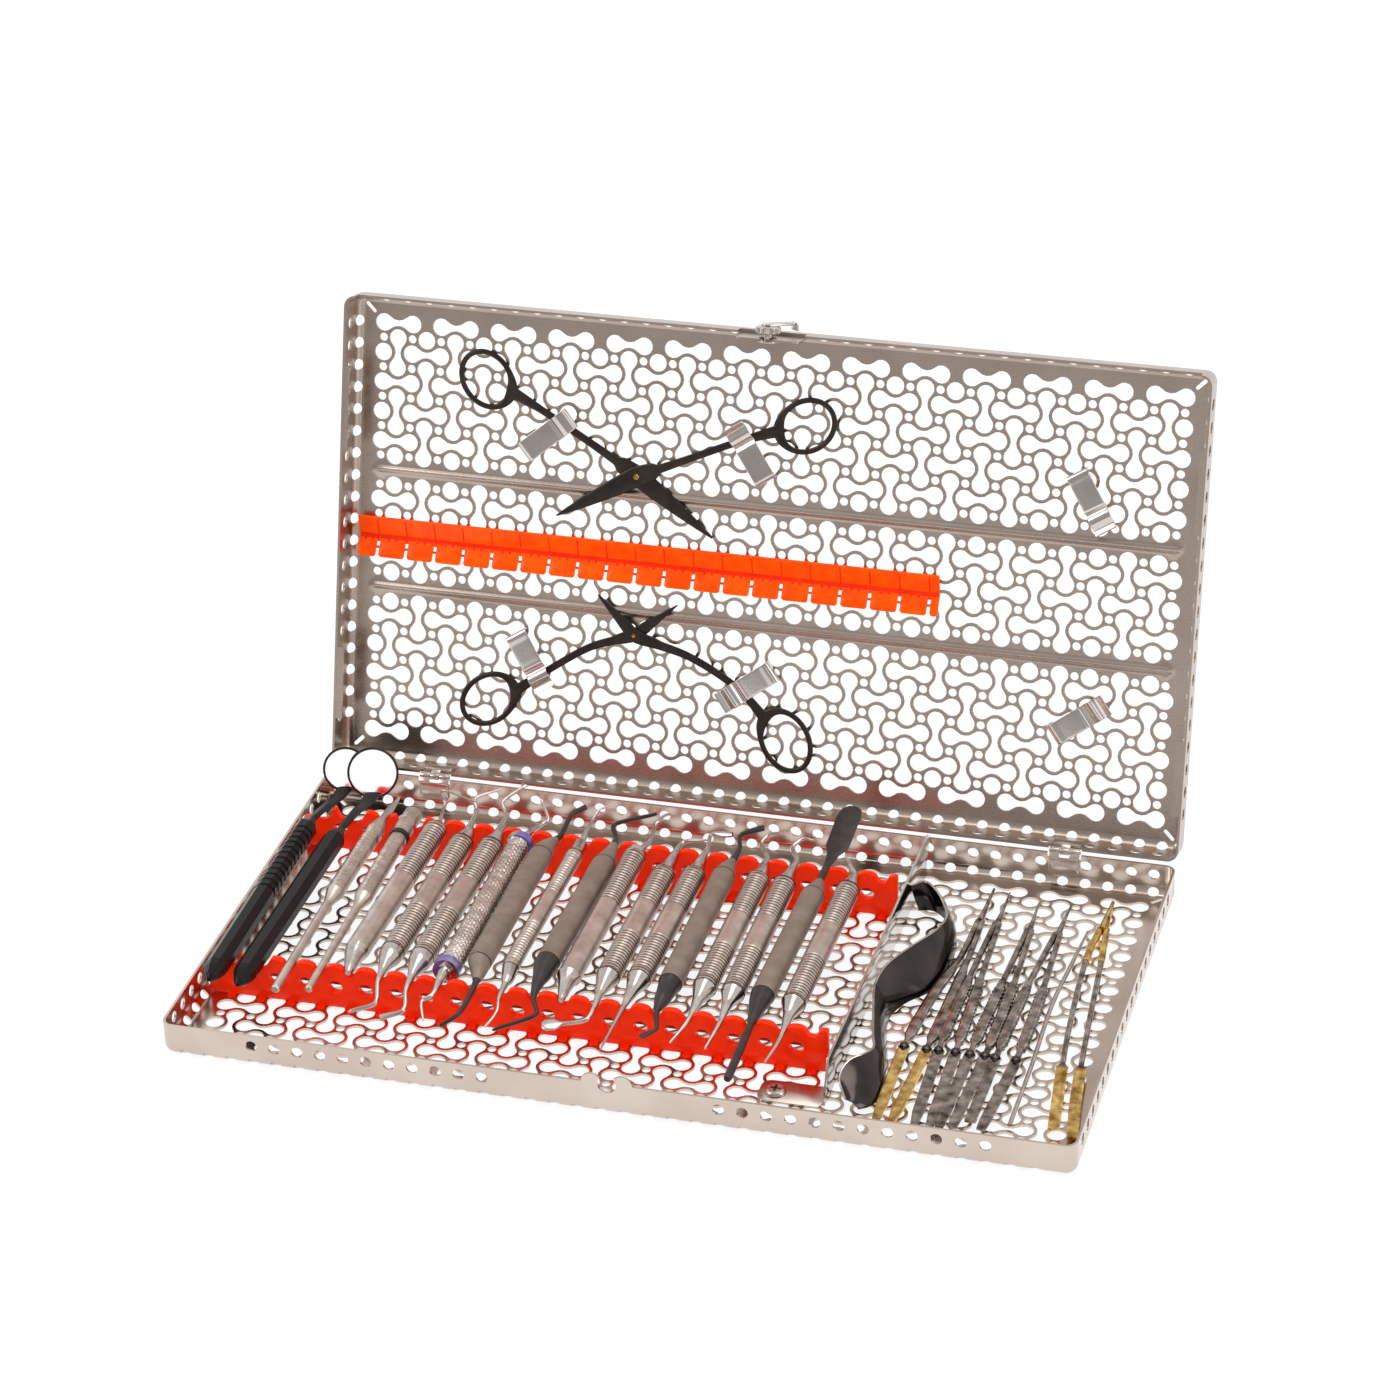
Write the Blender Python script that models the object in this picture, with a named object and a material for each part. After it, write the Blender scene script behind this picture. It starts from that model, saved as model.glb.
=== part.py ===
# Hinged perforated instrument tray with its load: dimensions in millimetres, built in metres.
# Origin: centre of the footprint on the table. +X right, +Y to the hinges, +Z up. The lid stands open.
import math
import bpy
import bmesh
from mathutils import Matrix, Vector

pitch = 6.35                 # grid that every hole, slot and lobe follows
halfLength, halfWidth = 184.15, 101.6
sheet = 1.0
bendRadius, cornerRadius = 4.5, 6.0
baseRim = 14.6               # height of the base walls
lidRim, lidTop = 15.0, 31.75 # lid in its closed place
panelInside = lidTop - sheet
hingeY, hingeZ = 102.4, 14.8
openAngle = 106.2            # degrees from closed to the open stop
hingeX = 137.2
studZ = 14.4                 # turn lock's axis, closed
handleZ = 19.0               # axis of the handles on the rails
railTop = 20.2
railFaces = {"rail_front": -55.4, "rail_back": 59.2}
railThickness = 3.0

openPose = (Matrix.Translation((0, hingeY, hingeZ)) @ Matrix.Rotation(math.radians(-openAngle), 4, "X")
            @ Matrix.Translation((0, -hingeY, -hingeZ)))
asBuilt = Matrix.Identity(4)


def column(n):
    return (n - 27) * pitch


def lidRow(n):
    return (n - 14) * pitch


def solid(name, verts, faces, pose=asBuilt, helper=False):
    mesh = bpy.data.meshes.new(name)
    mesh.from_pydata([tuple((pose @ Vector(v)) * 0.001) for v in verts], [], faces)
    bm = bmesh.new()
    bm.from_mesh(mesh)
    bmesh.ops.recalc_face_normals(bm, faces=bm.faces)
    bm.to_mesh(mesh)
    bm.free()
    obj = bpy.data.objects.new(name, mesh)
    bpy.context.scene.collection.objects.link(obj)
    if helper:
        obj.hide_render = True
        obj.display_type = "WIRE"
    return obj


def combine(target, other, operation):
    step = target.modifiers.new(operation.lower() + str(len(target.modifiers)), "BOOLEAN")
    step.operation = operation
    step.solver = "EXACT"
    step.object = other


def prism(points, low, high, axis):
    """Verts and faces of a flat outline pushed from low to high along one axis."""
    order = {"x": lambda a, b, c: (c, a, b), "y": lambda a, b, c: (a, c, b), "z": lambda a, b, c: (a, b, c)}[axis]
    n = len(points)
    verts = [order(a, b, low) for a, b in points] + [order(a, b, high) for a, b in points]
    faces = [tuple(range(n)), tuple(range(2 * n - 1, n - 1, -1))]
    faces += [(i, (i + 1) % n, n + (i + 1) % n, n + i) for i in range(n)]
    return verts, faces


def block(name, low, high, pose=asBuilt, helper=False):
    outline = [(low[0], low[1]), (high[0], low[1]), (high[0], high[1]), (low[0], high[1])]
    return solid(name, *prism(outline, low[2], high[2], "z"), pose, helper)


def circle(cx, cy, r, count, turn=0.0):
    return [(cx + r * math.cos(turn + 2 * math.pi * k / count), cy + r * math.sin(turn + 2 * math.pi * k / count))
            for k in range(count)]


def manyPrisms(outlines, low, high, axis):
    """Several separate outlines pushed together, for a cutter."""
    verts, faces = [], []
    for outline in outlines:
        v, f = prism(outline, low, high, axis)
        faces += [tuple(i + len(verts) for i in face) for face in f]
        verts += v
    return verts, faces


def ribbonOutline(path, widths):
    """Outline of a strip that follows path, widths[i] wide at its i-th point."""
    left, right = [], []
    for i, (x, y) in enumerate(path):
        ax, ay = path[max(i - 1, 0)]
        bx, by = path[min(i + 1, len(path) - 1)]
        size = math.hypot(bx - ax, by - ay)
        nx, ny = -(by - ay) / size, (bx - ax) / size
        half = widths[i] / 2
        left.append((x + nx * half, y + ny * half))
        right.append((x - nx * half, y - ny * half))
    return left + right[::-1]


def tube(path, count=8):
    """A round or oval bar through (x, y, z, half width, half height) points, closed at both ends."""
    verts, faces = [], []
    points = [Vector(p[:3]) for p in path]
    for i, p in enumerate(path):
        along = (points[min(i + 1, len(path) - 1)] - points[max(i - 1, 0)]).normalized()
        side = along.cross(Vector((0, 0, 1)))
        side = Vector((1, 0, 0)) if side.length < 0.05 else side.normalized()
        up = side.cross(along).normalized()
        tall = p[4] if len(p) > 4 else p[3]
        for k in range(count):
            a = 2 * math.pi * (k + 0.5) / count
            verts.append(points[i] + side * (p[3] * math.cos(a)) + up * (tall * math.sin(a)))
    for i in range(len(path) - 1):
        for k in range(count):
            a, b = i * count + k, i * count + (k + 1) % count
            faces.append((a, b, b + count, a + count))
    faces += [tuple(range(count)), tuple(range(len(verts) - 1, len(verts) - count - 1, -1))]
    return verts, faces


def roundedRing(inset, z):
    r = max(cornerRadius - inset, 0.8)
    hx, hy = halfLength - inset - r, halfWidth - inset - r
    ring = []
    for corner, (sx, sy) in enumerate(((1, 1), (-1, 1), (-1, -1), (1, -1))):
        for k in range(5):
            a = math.radians(90 * corner + 22.5 * k)
            ring.append((sx * hx + r * math.cos(a), sy * hy + r * math.sin(a), z))
    return ring


def trayShell(name, outside, rim, pose):
    """Pressed tray: flat sheet, rolled bend, upright walls. outside is the sheet's outer level."""
    way = 1 if rim > outside else -1
    rings = []
    for a in (0, 30, 60, 90):
        turn = math.radians(a)
        rings.append(roundedRing(bendRadius * (1 - math.sin(turn)), outside + way * bendRadius * (1 - math.cos(turn))))
    rings += [roundedRing(0, rim), roundedRing(sheet, rim)]
    inner = bendRadius - sheet
    for a in (90, 60, 30, 0):
        turn = math.radians(a)
        rings.append(roundedRing(sheet + inner * (1 - math.sin(turn)),
                                 outside + way * (sheet + inner * (1 - math.cos(turn)))))
    verts = [v for ring in rings for v in ring]
    faces = []
    n = len(rings[0])
    for i in range(len(rings) - 1):
        for k in range(n):
            faces.append((i * n + k, i * n + (k + 1) % n, (i + 1) * n + (k + 1) % n, (i + 1) * n + k))
    faces += [tuple(range(n)), tuple(range(len(verts) - n, len(verts)))]
    return solid(name, verts, faces, pose)


for old in list(bpy.data.objects):
    bpy.data.objects.remove(old, do_unlink=True)

# ---- base tray: two catch ears and the lock's notch at the front, two hinge notches at the back
base = trayShell("base_tray", 0.0, baseRim, asBuilt)
for side, x in (("left", -6.2), ("right", 6.2)):
    ear = solid("ear_" + side, *prism(circle(x, studZ, 4.3, 20, 0.1), -101.5, -100.7, "y"), helper=True)
    combine(base, ear, "UNION")
notch = [(2.6, 24.0), (-2.6, 24.0)] + [
    (3.8 * math.cos(math.radians(a)), studZ + 3.8 * math.sin(math.radians(a))) for a in range(133, 408, 17)]
combine(base, solid("catch_notch", *prism(notch, -104, -98, "y"), helper=True), "DIFFERENCE")
for side, x in (("left", -hingeX), ("right", hingeX)):
    combine(base, block("base_hinge_notch_" + side, (x - 7, 98.5, baseRim - 2.5), (x + 7, 104, 18), helper=True),
            "DIFFERENCE")

# ---- divider plate of the loose compartment, with its screwed foot
plate = solid("divider_plate", *prism([(-78, 1.05), (-70, 17.8), (98.5, 17.8), (98.5, 12), (94, 5.5), (94, 1.05)],
                                      79.5, 80.5, "x"))
foot = [(80.2, -66.6), (60, -66.6), (54, -69), (53.2, -74.4), (56, -80.6), (78, -80.6), (80.2, -77)]
combine(plate, solid("divider_foot", *prism(foot, 1.08, 2.1, "z"), helper=True), "UNION")
solid("divider_screw", *tube([(56.9 + 3, -74.4, 2.12, 4.3), (59.9, -74.4, 3.2, 4.2), (59.9, -74.4, 4.0, 3.2)], 12))

# ---- silicone rails: a lobe between every two places, a notch for what lies in each place
thickAt = {"rail_front": {0: -2.1, 1: -2.2}, "rail_back": {0: -3.0, 1: -1.4, 3: -0.5}}  # slot: how far it sits off


def railNotch(slot, thick):
    x = column(2 * slot) + thick.get(slot, 0)
    if slot in thick:
        half = [(5.6, 20.2), (5.35, 19.3), (5.15, 17.5), (3.9, 15.2), (2.1, 14.1)]
        low = 13.8
    else:
        half = [(4.3, 20.0), (3.5, 19.2), (2.7, 17.6), (1.6, 16.7)]
        low = 16.4
    return [(x - a, z) for a, z in half] + [(x, low)] + [(x + a, z) for a, z in half[::-1]]


for name, face in railFaces.items():
    top = []
    for slot in range(20):
        top += railNotch(slot, thickAt[name])
    top.append((column(39), railTop))
    top = [p for p in top if p[0] > -178.6]      # the lid's rim flange passes the left end
    outline = [(-179.4, 1.03), (-181.3, 3.4), (-181.3, 14.3), (-179.9, 14.5)] + top + [(column(39), 1.03)]
    rail = solid(name, *prism(outline, face, face + railThickness, "y"))
    holes = manyPrisms([circle(column(2 * k + 1), 10.5, 2.5, 8, 0.39) for k in range(19)], face - 1,
                       face + railThickness + 1, "y")
    combine(rail, solid(name + "_holes", *holes, helper=True), "DIFFERENCE")

# ---- two butt hinges: base leaf with two knuckles, lid leaf with one, pin through all three
for side, x in (("left", -hingeX), ("right", hingeX)):
    knuckle = circle(hingeY, hingeZ, 1.45, 12)
    bore = prism(circle(hingeY, hingeZ, 0.8, 10), x - 8, x + 8, "x")
    for part, low, high, root, pose in (("base", 5.0, 12.4, 12.9, asBuilt), ("lid", 27.0, 17.2, 16.7, openPose)):
        leaf = block(f"hinge_{part}_leaf_{side}", (x - 6.35, 99.75, min(low, root)), (x + 6.35, 100.5, max(low, root)),
                     pose)
        spans = ((-6.3, -2.2), (2.2, 6.3)) if part == "base" else ((-1.9, 1.9),)
        for i, (a, b) in enumerate(spans):
            arm = [(99.8, high), (99.8, root), (hingeY - 0.9, hingeZ + (0.9 if part == "lid" else -0.9)),
                   (hingeY + 0.2, hingeZ + (1.0 if part == "lid" else -1.0)), (hingeY - 0.9, hingeZ), (100.45, high)]
            arm = [(99.8, high), (100.45, high), (hingeY + 0.3, hingeZ + (1.2 if part == "lid" else -1.2)),
                   (hingeY - 1.2, hingeZ + (0.3 if part == "lid" else -0.3)), (99.8, root)]
            combine(leaf, solid(f"{part}_arm_{side}_{i}", *prism(arm, x + a, x + b, "x"), pose, True), "UNION")
            combine(leaf, solid(f"{part}_knuckle_{side}_{i}", *prism(knuckle, x + a, x + b, "x"), pose, True), "UNION")
        combine(leaf, solid(f"{part}_bore_{side}", *bore, pose, True), "DIFFERENCE")
    solid("hinge_pin_" + side, *prism(circle(hingeY, hingeZ, 0.6, 8), x - 6.6, x + 6.6, "x"))

# ---- lid tray
lid = trayShell("lid_tray", lidTop, lidRim, openPose)
combine(lid, block("lid_front_cut", (-178, -104, 9), (178, -97, 19.75), openPose, True), "DIFFERENCE")
combine(lid, block("lid_tab_cut", (-14, -104, 9), (14, -97, 24), openPose, True), "DIFFERENCE")
tab = solid("lid_tab", *prism([(-14, 11.4), (14, 11.4), (14, 25.4), (-14, 25.4)], -100.3, -99.5, "y"), openPose, True)
combine(lid, tab, "UNION")
combine(lid, block("lid_tab_step", (-13.9, -101.4, 23.4), (13.9, -99.7, 25.2), openPose, True), "UNION")
combine(lid, solid("stud_hole", *prism(circle(0, studZ, 3.7, 16), -103, -97, "y"), openPose, True), "DIFFERENCE")
for side, s in (("left", -1), ("right", 1)):
    for place, y0, y1, reach in (("front", -71.8, -35.6, 2.0), ("back", 50.2, 82.0, 3.0)):
        inner, outer = s * (halfLength - sheet - reach), s * (halfLength - 0.3)
        flange = block(f"rim_flange_{side}_{place}", (min(inner, outer), y0, lidRim + 0.1),
                       (max(inner, outer), y1, lidRim + 0.9), openPose, True)
        combine(lid, flange, "UNION")
    combine(lid, block("lid_hinge_notch_" + side, (s * hingeX - 7, 98.5, 12), (s * hingeX + 7, 104, 17.5), openPose,
                       True), "DIFFERENCE")

# ---- silicone hold-down comb: a V strip, its lower flap slit into tabs
combY = 3.2
vee = ribbonOutline([(combY - 8.2, panelInside - 5.1), (combY, panelInside - 1.45), (combY + 8.2, panelInside - 5.1)],
                    [1.8, 1.8, 1.8])
comb = solid("hold_down_comb", *prism(vee, -179.2, column(38.8), "x"), openPose)
slits = []
for k in range(20):
    x = column(2 * k + 0.15)
    if x > -180 and x < column(38.5):
        slits.append([(x - 0.8, combY + 2.4), (x + 0.8, combY + 2.4), (x + 0.8, combY + 12), (x - 0.8, combY + 12)])
combine(comb, solid("comb_slits", *manyPrisms(slits, panelInside - 9, panelInside, "z"), openPose, True), "DIFFERENCE")

# ---- turn lock on the lid's front tab
stud = circle(0, studZ, 2.35, 16)
stud = [(max(-1.9, min(1.9, x)), z) for x, z in stud]
solid("lock_stud", *prism(stud, -102.38, -99.45, "y"), openPose)
solid("lock_knob", *prism(circle(0, studZ, 5.25, 24), -105.4, -102.4, "y"), openPose)
solid("lock_washer", *prism(circle(0, studZ, 4.8, 20), -99.43, -98.9, "y"), openPose)
lever = [(-2.6, -105.42), (12.4, -105.42), (12.4, -103.0), (13.3, -103.0), (13.3, -106.3), (-2.6, -106.3)]
verts, faces = prism(lever, -2.5, 2.5, "z")
leverTurn = math.radians(45)
verts = [(a * math.cos(leverTurn) - c * math.sin(leverTurn), b, studZ + a * math.sin(leverTurn) + c * math.cos(leverTurn))
         for a, b, c in verts]
solid("lock_lever", verts, faces, openPose)

# ---- spring clips: leg in the sheet, flat leaf, detent, mouth that bridges a shank
clipProfile = [(0.4, 0.35), (0.4, 3.6), (1.3, 4.3), (14.5, 4.3), (16.5, 4.2), (18.3, 3.3), (20.0, 4.5), (22.0, 4.95),
               (24.0, 4.5), (25.2, 4.4), (26.4, 5.2), (27.2, 5.55)]
clips = {"clip_1": ((10.2, 7.8), (13.45, 5.05)), "clip_2": ((26.9, 8.1), (24.5, 4.6)),
         "clip_3": ((47.35, 5.4), (49.6, 9.05)), "clip_4": ((10.05, 20.1), (12.35, 23.75)),
         "clip_5": ((27.95, 20.75), (24.4, 23.4)), "clip_6": ((46.9, 23.0), (50.2, 20.55))}
for name, (leg, mouth) in clips.items():
    x0, y0 = column(leg[0]), lidRow(leg[1])
    x1, y1 = column(mouth[0]), lidRow(mouth[1])
    size = math.hypot(x1 - x0, y1 - y0)
    dx, dy = (x1 - x0) / size, (y1 - y0) / size
    verts, faces = prism(ribbonOutline(clipProfile, [0.7] * len(clipProfile)), -4.75, 4.75, "z")
    verts = [(x0 + a * dx - c * dy, y0 + a * dy + c * dx, panelInside - b) for a, b, c in verts]
    solid(name, verts, faces, openPose)

# ---- two pairs of scissors under the clips; each half is a ring, a shank and the opposite blade
scissors = {
    "straight": {"pivot": (18.0, 8.65), "halves": {"a": ((7.2, 3.0), (8.9, 2.85), (23.3, 12.3)),
                                                  "b": ((29.6, 4.1), (27.9, 3.95), (12.6, 11.8))},
                 "blade": 7.0, "ring": (12.4, 12.2)},
    "curved": {"pivot": (18.3, 19.4), "halves": {"a": ((8.2, 25.0), (9.9, 24.4), (21.1, 17.1)),
                                                "b": ((28.9, 25.2), (27.2, 24.6), (15.7, 16.9))},
               "blade": 5.6, "ring": (13.4, 12.4)}}
levels = {"a": (0.45, 1.85), "b": (2.0, 3.4)}
for name, spec in scissors.items():
    px, py = column(spec["pivot"][0]), lidRow(spec["pivot"][1])
    for half, (ringAt, neckAt, tipAt) in spec["halves"].items():
        high, low = panelInside - levels[half][0], panelInside - levels[half][1]
        neck = (column(neckAt[0]), lidRow(neckAt[1]))
        tip = (column(tipAt[0]), lidRow(tipAt[1]))
        near = lambda p, t: (px + (p[0] - px) * t, py + (p[1] - py) * t)
        path = [neck, near(neck, 0.86), near(neck, 0.55), near(neck, 0.16), (px, py), near(tip, 0.25), near(tip, 0.6), tip]
        outline = ribbonOutline(path, [5.0, 3.0, 2.8, 3.6, 6.4, spec["blade"], spec["blade"] * 0.7, 1.0])
        body = solid(f"{name}_scissors_half_{half}", *prism(outline, low, high, "z"), openPose)
        cx, cy = column(ringAt[0]), lidRow(ringAt[1])
        outer = [(cx + spec["ring"][0] * math.cos(a / 12 * math.pi), cy + spec["ring"][1] * math.sin(a / 12 * math.pi))
                 for a in range(24)]
        inner = [(cx + (x - cx) * 0.79, cy + (y - cy) * 0.79) for x, y in outer]
        verts = [(x, y, z) for z in (low + 0.02, high - 0.02) for loop in (outer, inner) for x, y in loop]
        faces = []
        for k in range(24):
            m = (k + 1) % 24
            faces += [(k, m, 24 + m, 24 + k), (48 + k, 72 + k, 72 + m, 48 + m), (k, 48 + k, 48 + m, m),
                      (24 + k, 24 + m, 72 + m, 72 + k)]
        combine(body, solid(f"{name}_ring_{half}", verts, faces, openPose, True), "UNION")
        bore = prism(circle(px, py, 1.8, 12), low - 1, high + 1, "z")
        combine(body, solid(f"{name}_bore_{half}", *bore, openPose, True), "DIFFERENCE")
    z = panelInside
    screw = tube([(px, py, z - 0.5, 1.5), (px, py, z - 3.5, 1.5), (px, py, z - 3.55, 2.5), (px, py, z - 4.2, 2.2)], 10)
    solid(f"{name}_scissors_screw", *screw, openPose)

# ---- hand instruments, one per place. Each line: (x from the place's axis, y, z, half width[, half height])
h = handleZ
instruments = {
    "mirror_handle_1": [(-2.1, -73.5, h, 0.9), (-2.1, -71.5, h, 2.4), (-2.1, -67, h, 4.2), (-2.2, -64, h, 4.7),
                        (-3.0, 44, h, 4.7), (-3.1, 48.5, h, 2.9), (-3.1, 51, h, 1.8, 1.2), (-2.5, 66, 16.2, 1.9, 0.8),
                        (-1.6, 79, 13.0, 2.2, 0.7), (-1.0, 86.0, 11.5, 2.4, 0.6)],
    "mirror_handle_2": [(-2.3, -74.5, h, 0.9), (-2.3, -72.5, h, 2.4), (-2.3, -68, h, 4.2), (-2.3, -65, h, 4.7),
                        (-1.2, 38, h, 4.7), (-1.1, 42.5, h, 2.9), (-1.1, 46, h, 1.8, 1.2), (-1.3, 64, 16.4, 1.9, 0.8),
                        (-1.4, 78, 12.2, 2.2, 0.7), (-1.3, 85.5, 10.2, 2.4, 0.6)],
    "carver_3": [(0.5, -74, 18.6, 1.3), (0.5, -73, 18.6, 1.9), (0.2, -10, h, 1.9), (0.2, -1, h, 3.8), (0.3, 22, h, 3.7),
                 (0.9, 48, h, 3.9), (0.9, 53.5, h, 2.8), (0.8, 58, h, 1.6), (1.3, 66, h, 1.9, 0.5), (1.9, 76, h, 0.6, 0.3)],
    "carver_4": [(0.8, -71, 18.6, 1.0), (0.8, -70.3, 18.6, 1.6), (0.2, -10, h, 1.8), (0.2, -2, h, 3.8),
                 (-0.5, 44, h, 3.8), (-0.6, 56, h, 4.1), (-0.5, 64, h, 4.0), (-0.5, 66.2, h, 2.6)],
    "explorer_5": [(-0.2, -56.5, h, 1.2), (-0.3, -55.5, h, 1.5), (-1.9, -43, h, 4.4), (-2.0, -40, h, 5.0),
                   (0, 54, h, 5.0), (0, 57.5, h, 3.4), (0, 58.6, h, 1.1), (-1.2, 66, 19.6, 0.8), (-2.0, 73, 21.5, 0.7),
                   (-4.0, 74.6, 25.4, 0.6), (-3.2, 74.4, 26.2, 0.5), (12.3, 71.4, 24.4, 0.3)],
    "curette_6": [(-7.3, -73.2, 12, 0.5), (-5.5, -72.2, 12.6, 0.8), (2.2, -69, 14.6, 0.9), (2.6, -66.8, 15.6, 0.9),
                  (0.6, -59, 18.3, 1.1), (0.1, -52, 18.9, 1.7), (-0.3, -46, h, 3.2), (-0.3, -42, h, 4.6),
                  (-0.3, -38, h, 5.0), (1.2, 47, h, 5.0), (1.3, 54.3, h, 3.0), (0.4, 61, h, 1.4), (-0.6, 72, 19.8, 1.0),
                  (-2.4, 76.4, 22.4, 0.8), (-1.8, 77.5, 22.9, 0.8), (6.3, 85.5, 23.2, 0.5)],
    "chisel_7": [(-5.8, -75.6, 13, 1.6, 0.6), (-3.6, -74.6, 13.6, 1.4, 0.7), (2.0, -71.6, 14.7, 0.9),
                 (2.5, -69, 15.6, 0.9), (0.6, -62, 17.8, 1.0), (0.0, -53, 18.8, 1.7), (-0.2, -47, h, 3.2),
                 (-0.2, -43, h, 4.6), (-0.2, -39, h, 5.0), (1.2, 47, h, 5.0), (1.3, 54.7, h, 3.0), (0.4, 61, h, 1.4),
                 (-0.2, 72, 19.2, 1.0), (-3.4, 77.6, 21.6, 0.8), (-2.8, 79.3, 22.3, 0.8), (2.2, 88, 23.8, 0.7),
                 (3.0, 89.6, 24.2, 1.5, 0.5)],
    "scaler_8": [(-1.0, -74.0, 13.4, 0.4), (-3.8, -67.6, 16.6, 0.7), (-3.9, -66.2, 17.1, 0.8), (-0.8, -62.5, 18.2, 0.9),
                 (-0.7, -54, h, 1.6), (-0.7, -47.5, h, 3.0), (-0.5, -46.8, h, 5.3), (-0.2, -42.8, h, 5.3),
                 (-0.1, -42, h, 4.9), (-0.7, 49.5, h, 4.9), (-0.8, 50, h, 5.3), (-0.8, 53.5, h, 5.3), (-0.5, 54.4, h, 2.6),
                 (0.6, 60.5, h, 1.4), (4.4, 68.4, 19.5, 0.9), (6.2, 70.3, 20.2, 0.8), (1.3, 78.4, 23.7, 0.6),
                 (1.0, 79.3, 24.1, 0.8)],
    "plugger_9": [(-6.1, -77, 14, 0.8), (-1.4, -72.4, 15.6, 0.9), (0.2, -69, 16.5, 1.0), (0.8, -51, 18.5, 1.3),
                  (0.5, -47.5, h, 2.4), (-1.9, -37, h, 4.8), (-2.0, -33, h, 5.0), (-2.0, 45, h, 5.0), (-1.2, 52.5, h, 3.4),
                  (0.6, 58.5, h, 1.5), (1.5, 62, 18.9, 1.1), (2.5, 74, 21.8, 1.0), (3.4, 75.4, 22.3, 1.2, 0.7),
                  (7.9, 78.5, 24, 1.5, 0.5)],
    "explorer_10": [(-1.0, -73.6, 14, 0.4), (1.6, -66, 16.7, 0.6), (0.6, -60, 18.4, 0.8), (0.1, -50, h, 1.4),
                    (0, -47, h, 2.5), (-1.2, -39, h, 3.4), (-1.5, -36, h, 3.6), (-1.0, 48, h, 3.6), (-1.0, 50, h, 2.9),
                    (-1.0, 57, h, 2.9), (-1.0, 58.4, h, 1.6), (-1.7, 72, 19.2, 0.8), (0.3, 81, 21.8, 0.5),
                    (2.7, 82.9, 22.2, 0.4)],
    "scaler_11": [(-10.6, -73.9, 13, 0.5), (-8.5, -72.6, 13.5, 0.8), (3.8, -64, 15.7, 0.9), (4.2, -62.4, 16.2, 0.9),
                  (1.2, -56.5, 18.3, 1.0), (-0.1, -46, h, 2.6), (-0.3, -40, h, 3.8), (-0.7, -35.5, h, 4.6),
                  (-0.7, -31, h, 5.0), (0.2, 44, h, 5.0), (0.3, 50, h, 3.6), (0, 58.4, h, 1.9), (-0.8, 65, h, 1.1),
                  (-4.0, 72, 19.8, 1.0), (-3.4, 73.6, 20.3, 0.9), (11.5, 79.2, 23.6, 0.8), (12.9, 79.8, 24, 0.7)],
    "cone_12": [(-0.2, -56.3, h, 1.1), (-0.3, -55.3, h, 1.3), (-1.9, -43, h, 3.6), (-2.1, -39.5, h, 4.9),
                (-1.7, 52, h, 4.9), (-1.7, 56.5, h, 4.0), (-1.0, 58.6, h, 1.6), (1.0, 66.5, h, 0.9), (0.7, 77.2, 20.9, 0.8),
                (4.2, 80.4, 23.6, 0.6), (8.9, 79.9, 24, 0.4)],
    "curette_13": [(-16.6, -70.2, 15.8, 1.6, 0.6), (-15.4, -69.8, 15.9, 3.0, 0.6), (-12.2, -68.6, 16, 3.1, 0.6),
                   (-9.6, -67.7, 16, 1.2, 0.6), (-7.9, -67.1, 16, 0.8), (-0.6, -64.4, 16.9, 0.9), (0.5, -62.6, 17.4, 0.9),
                   (0.9, -57, 18.3, 1.0), (0.6, -48, 18.9, 1.8), (0.4, -41, h, 3.6), (0.4, -36, h, 5.0),
                   (1.0, 42, h, 5.0), (1.1, 48, h, 3.2), (1.3, 57, h, 1.8), (1.6, 65.4, 19.2, 1.0),
                   (3.0, 67.4, 19.8, 0.9), (12.6, 66.9, 22.2, 0.4)],
    "probe_14": [(-1.1, -84.6, 18, 0.3), (-0.9, -74, 18.2, 0.6), (-0.3, -54, 18.8, 1.2), (0, -43, h, 2.8),
                 (0.1, -35, h, 5.0), (0.6, 44, h, 5.0), (0.6, 50, h, 3.2), (0.5, 58, h, 1.8), (0.4, 66.5, h, 0.9),
                 (-0.6, 74.2, 19.8, 0.8), (0.2, 75, 20.3, 0.9), (5.2, 74.4, 21.2, 1.6, 0.6), (9, 73.7, 22, 1.2, 0.6)],
    "carver_15": [(-2.1, -69.6, 15.8, 1.2, 0.4), (-0.6, -68, 16.2, 1.3, 0.5), (2.8, -64.6, 16.9, 0.8),
                  (2.8, -62.8, 17.3, 0.9), (0.5, -55, 18.5, 1.1), (0.5, -47, h, 3.2), (0.4, -38, h, 4.2),
                  (0.4, -35, h, 4.9), (0, 46, h, 4.9), (0, 52, h, 3.4), (0.4, 58, h, 1.8), (0.7, 68.6, h, 1.0),
                  (-1.2, 76, 19.8, 0.9), (-0.7, 77.3, 20.3, 0.9), (6.6, 79.8, 22.6, 1.5, 0.5), (8.4, 80.3, 23, 1.3, 0.5)],
    "curette_16": [(-2.3, -70.5, 16, 0.5), (0.9, -60, 17.8, 0.9), (1.6, -54, 18.6, 1.1), (1.7, -44, h, 2.4),
                   (1.8, -35, h, 4.9), (1.9, 46, h, 4.9), (1.9, 53, h, 3.0), (1.3, 58.6, h, 1.6), (0.8, 64.8, h, 1.0),
                   (-3.4, 72.2, 19.9, 0.9), (-3.4, 73.8, 20.6, 0.8), (-1.6, 77, 22, 0.7), (2.4, 77.8, 23, 0.5)],
    "curette_17": [(-0.6, -71.4, 16, 0.5), (0.7, -62, 17.6, 0.9), (1.3, -55, 18.5, 1.1), (1.0, -44, h, 2.4),
                   (1.0, -36, h, 4.9), (0.6, 45, h, 4.9), (0.6, 52, h, 3.0), (0.8, 58.6, h, 1.6), (0.8, 65.2, h, 1.0),
                   (-2.8, 72, 19.8, 0.9), (-2.8, 73.4, 20.3, 0.8), (0.4, 77.6, 21.7, 0.7), (5.8, 76.7, 22, 0.5)],
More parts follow.
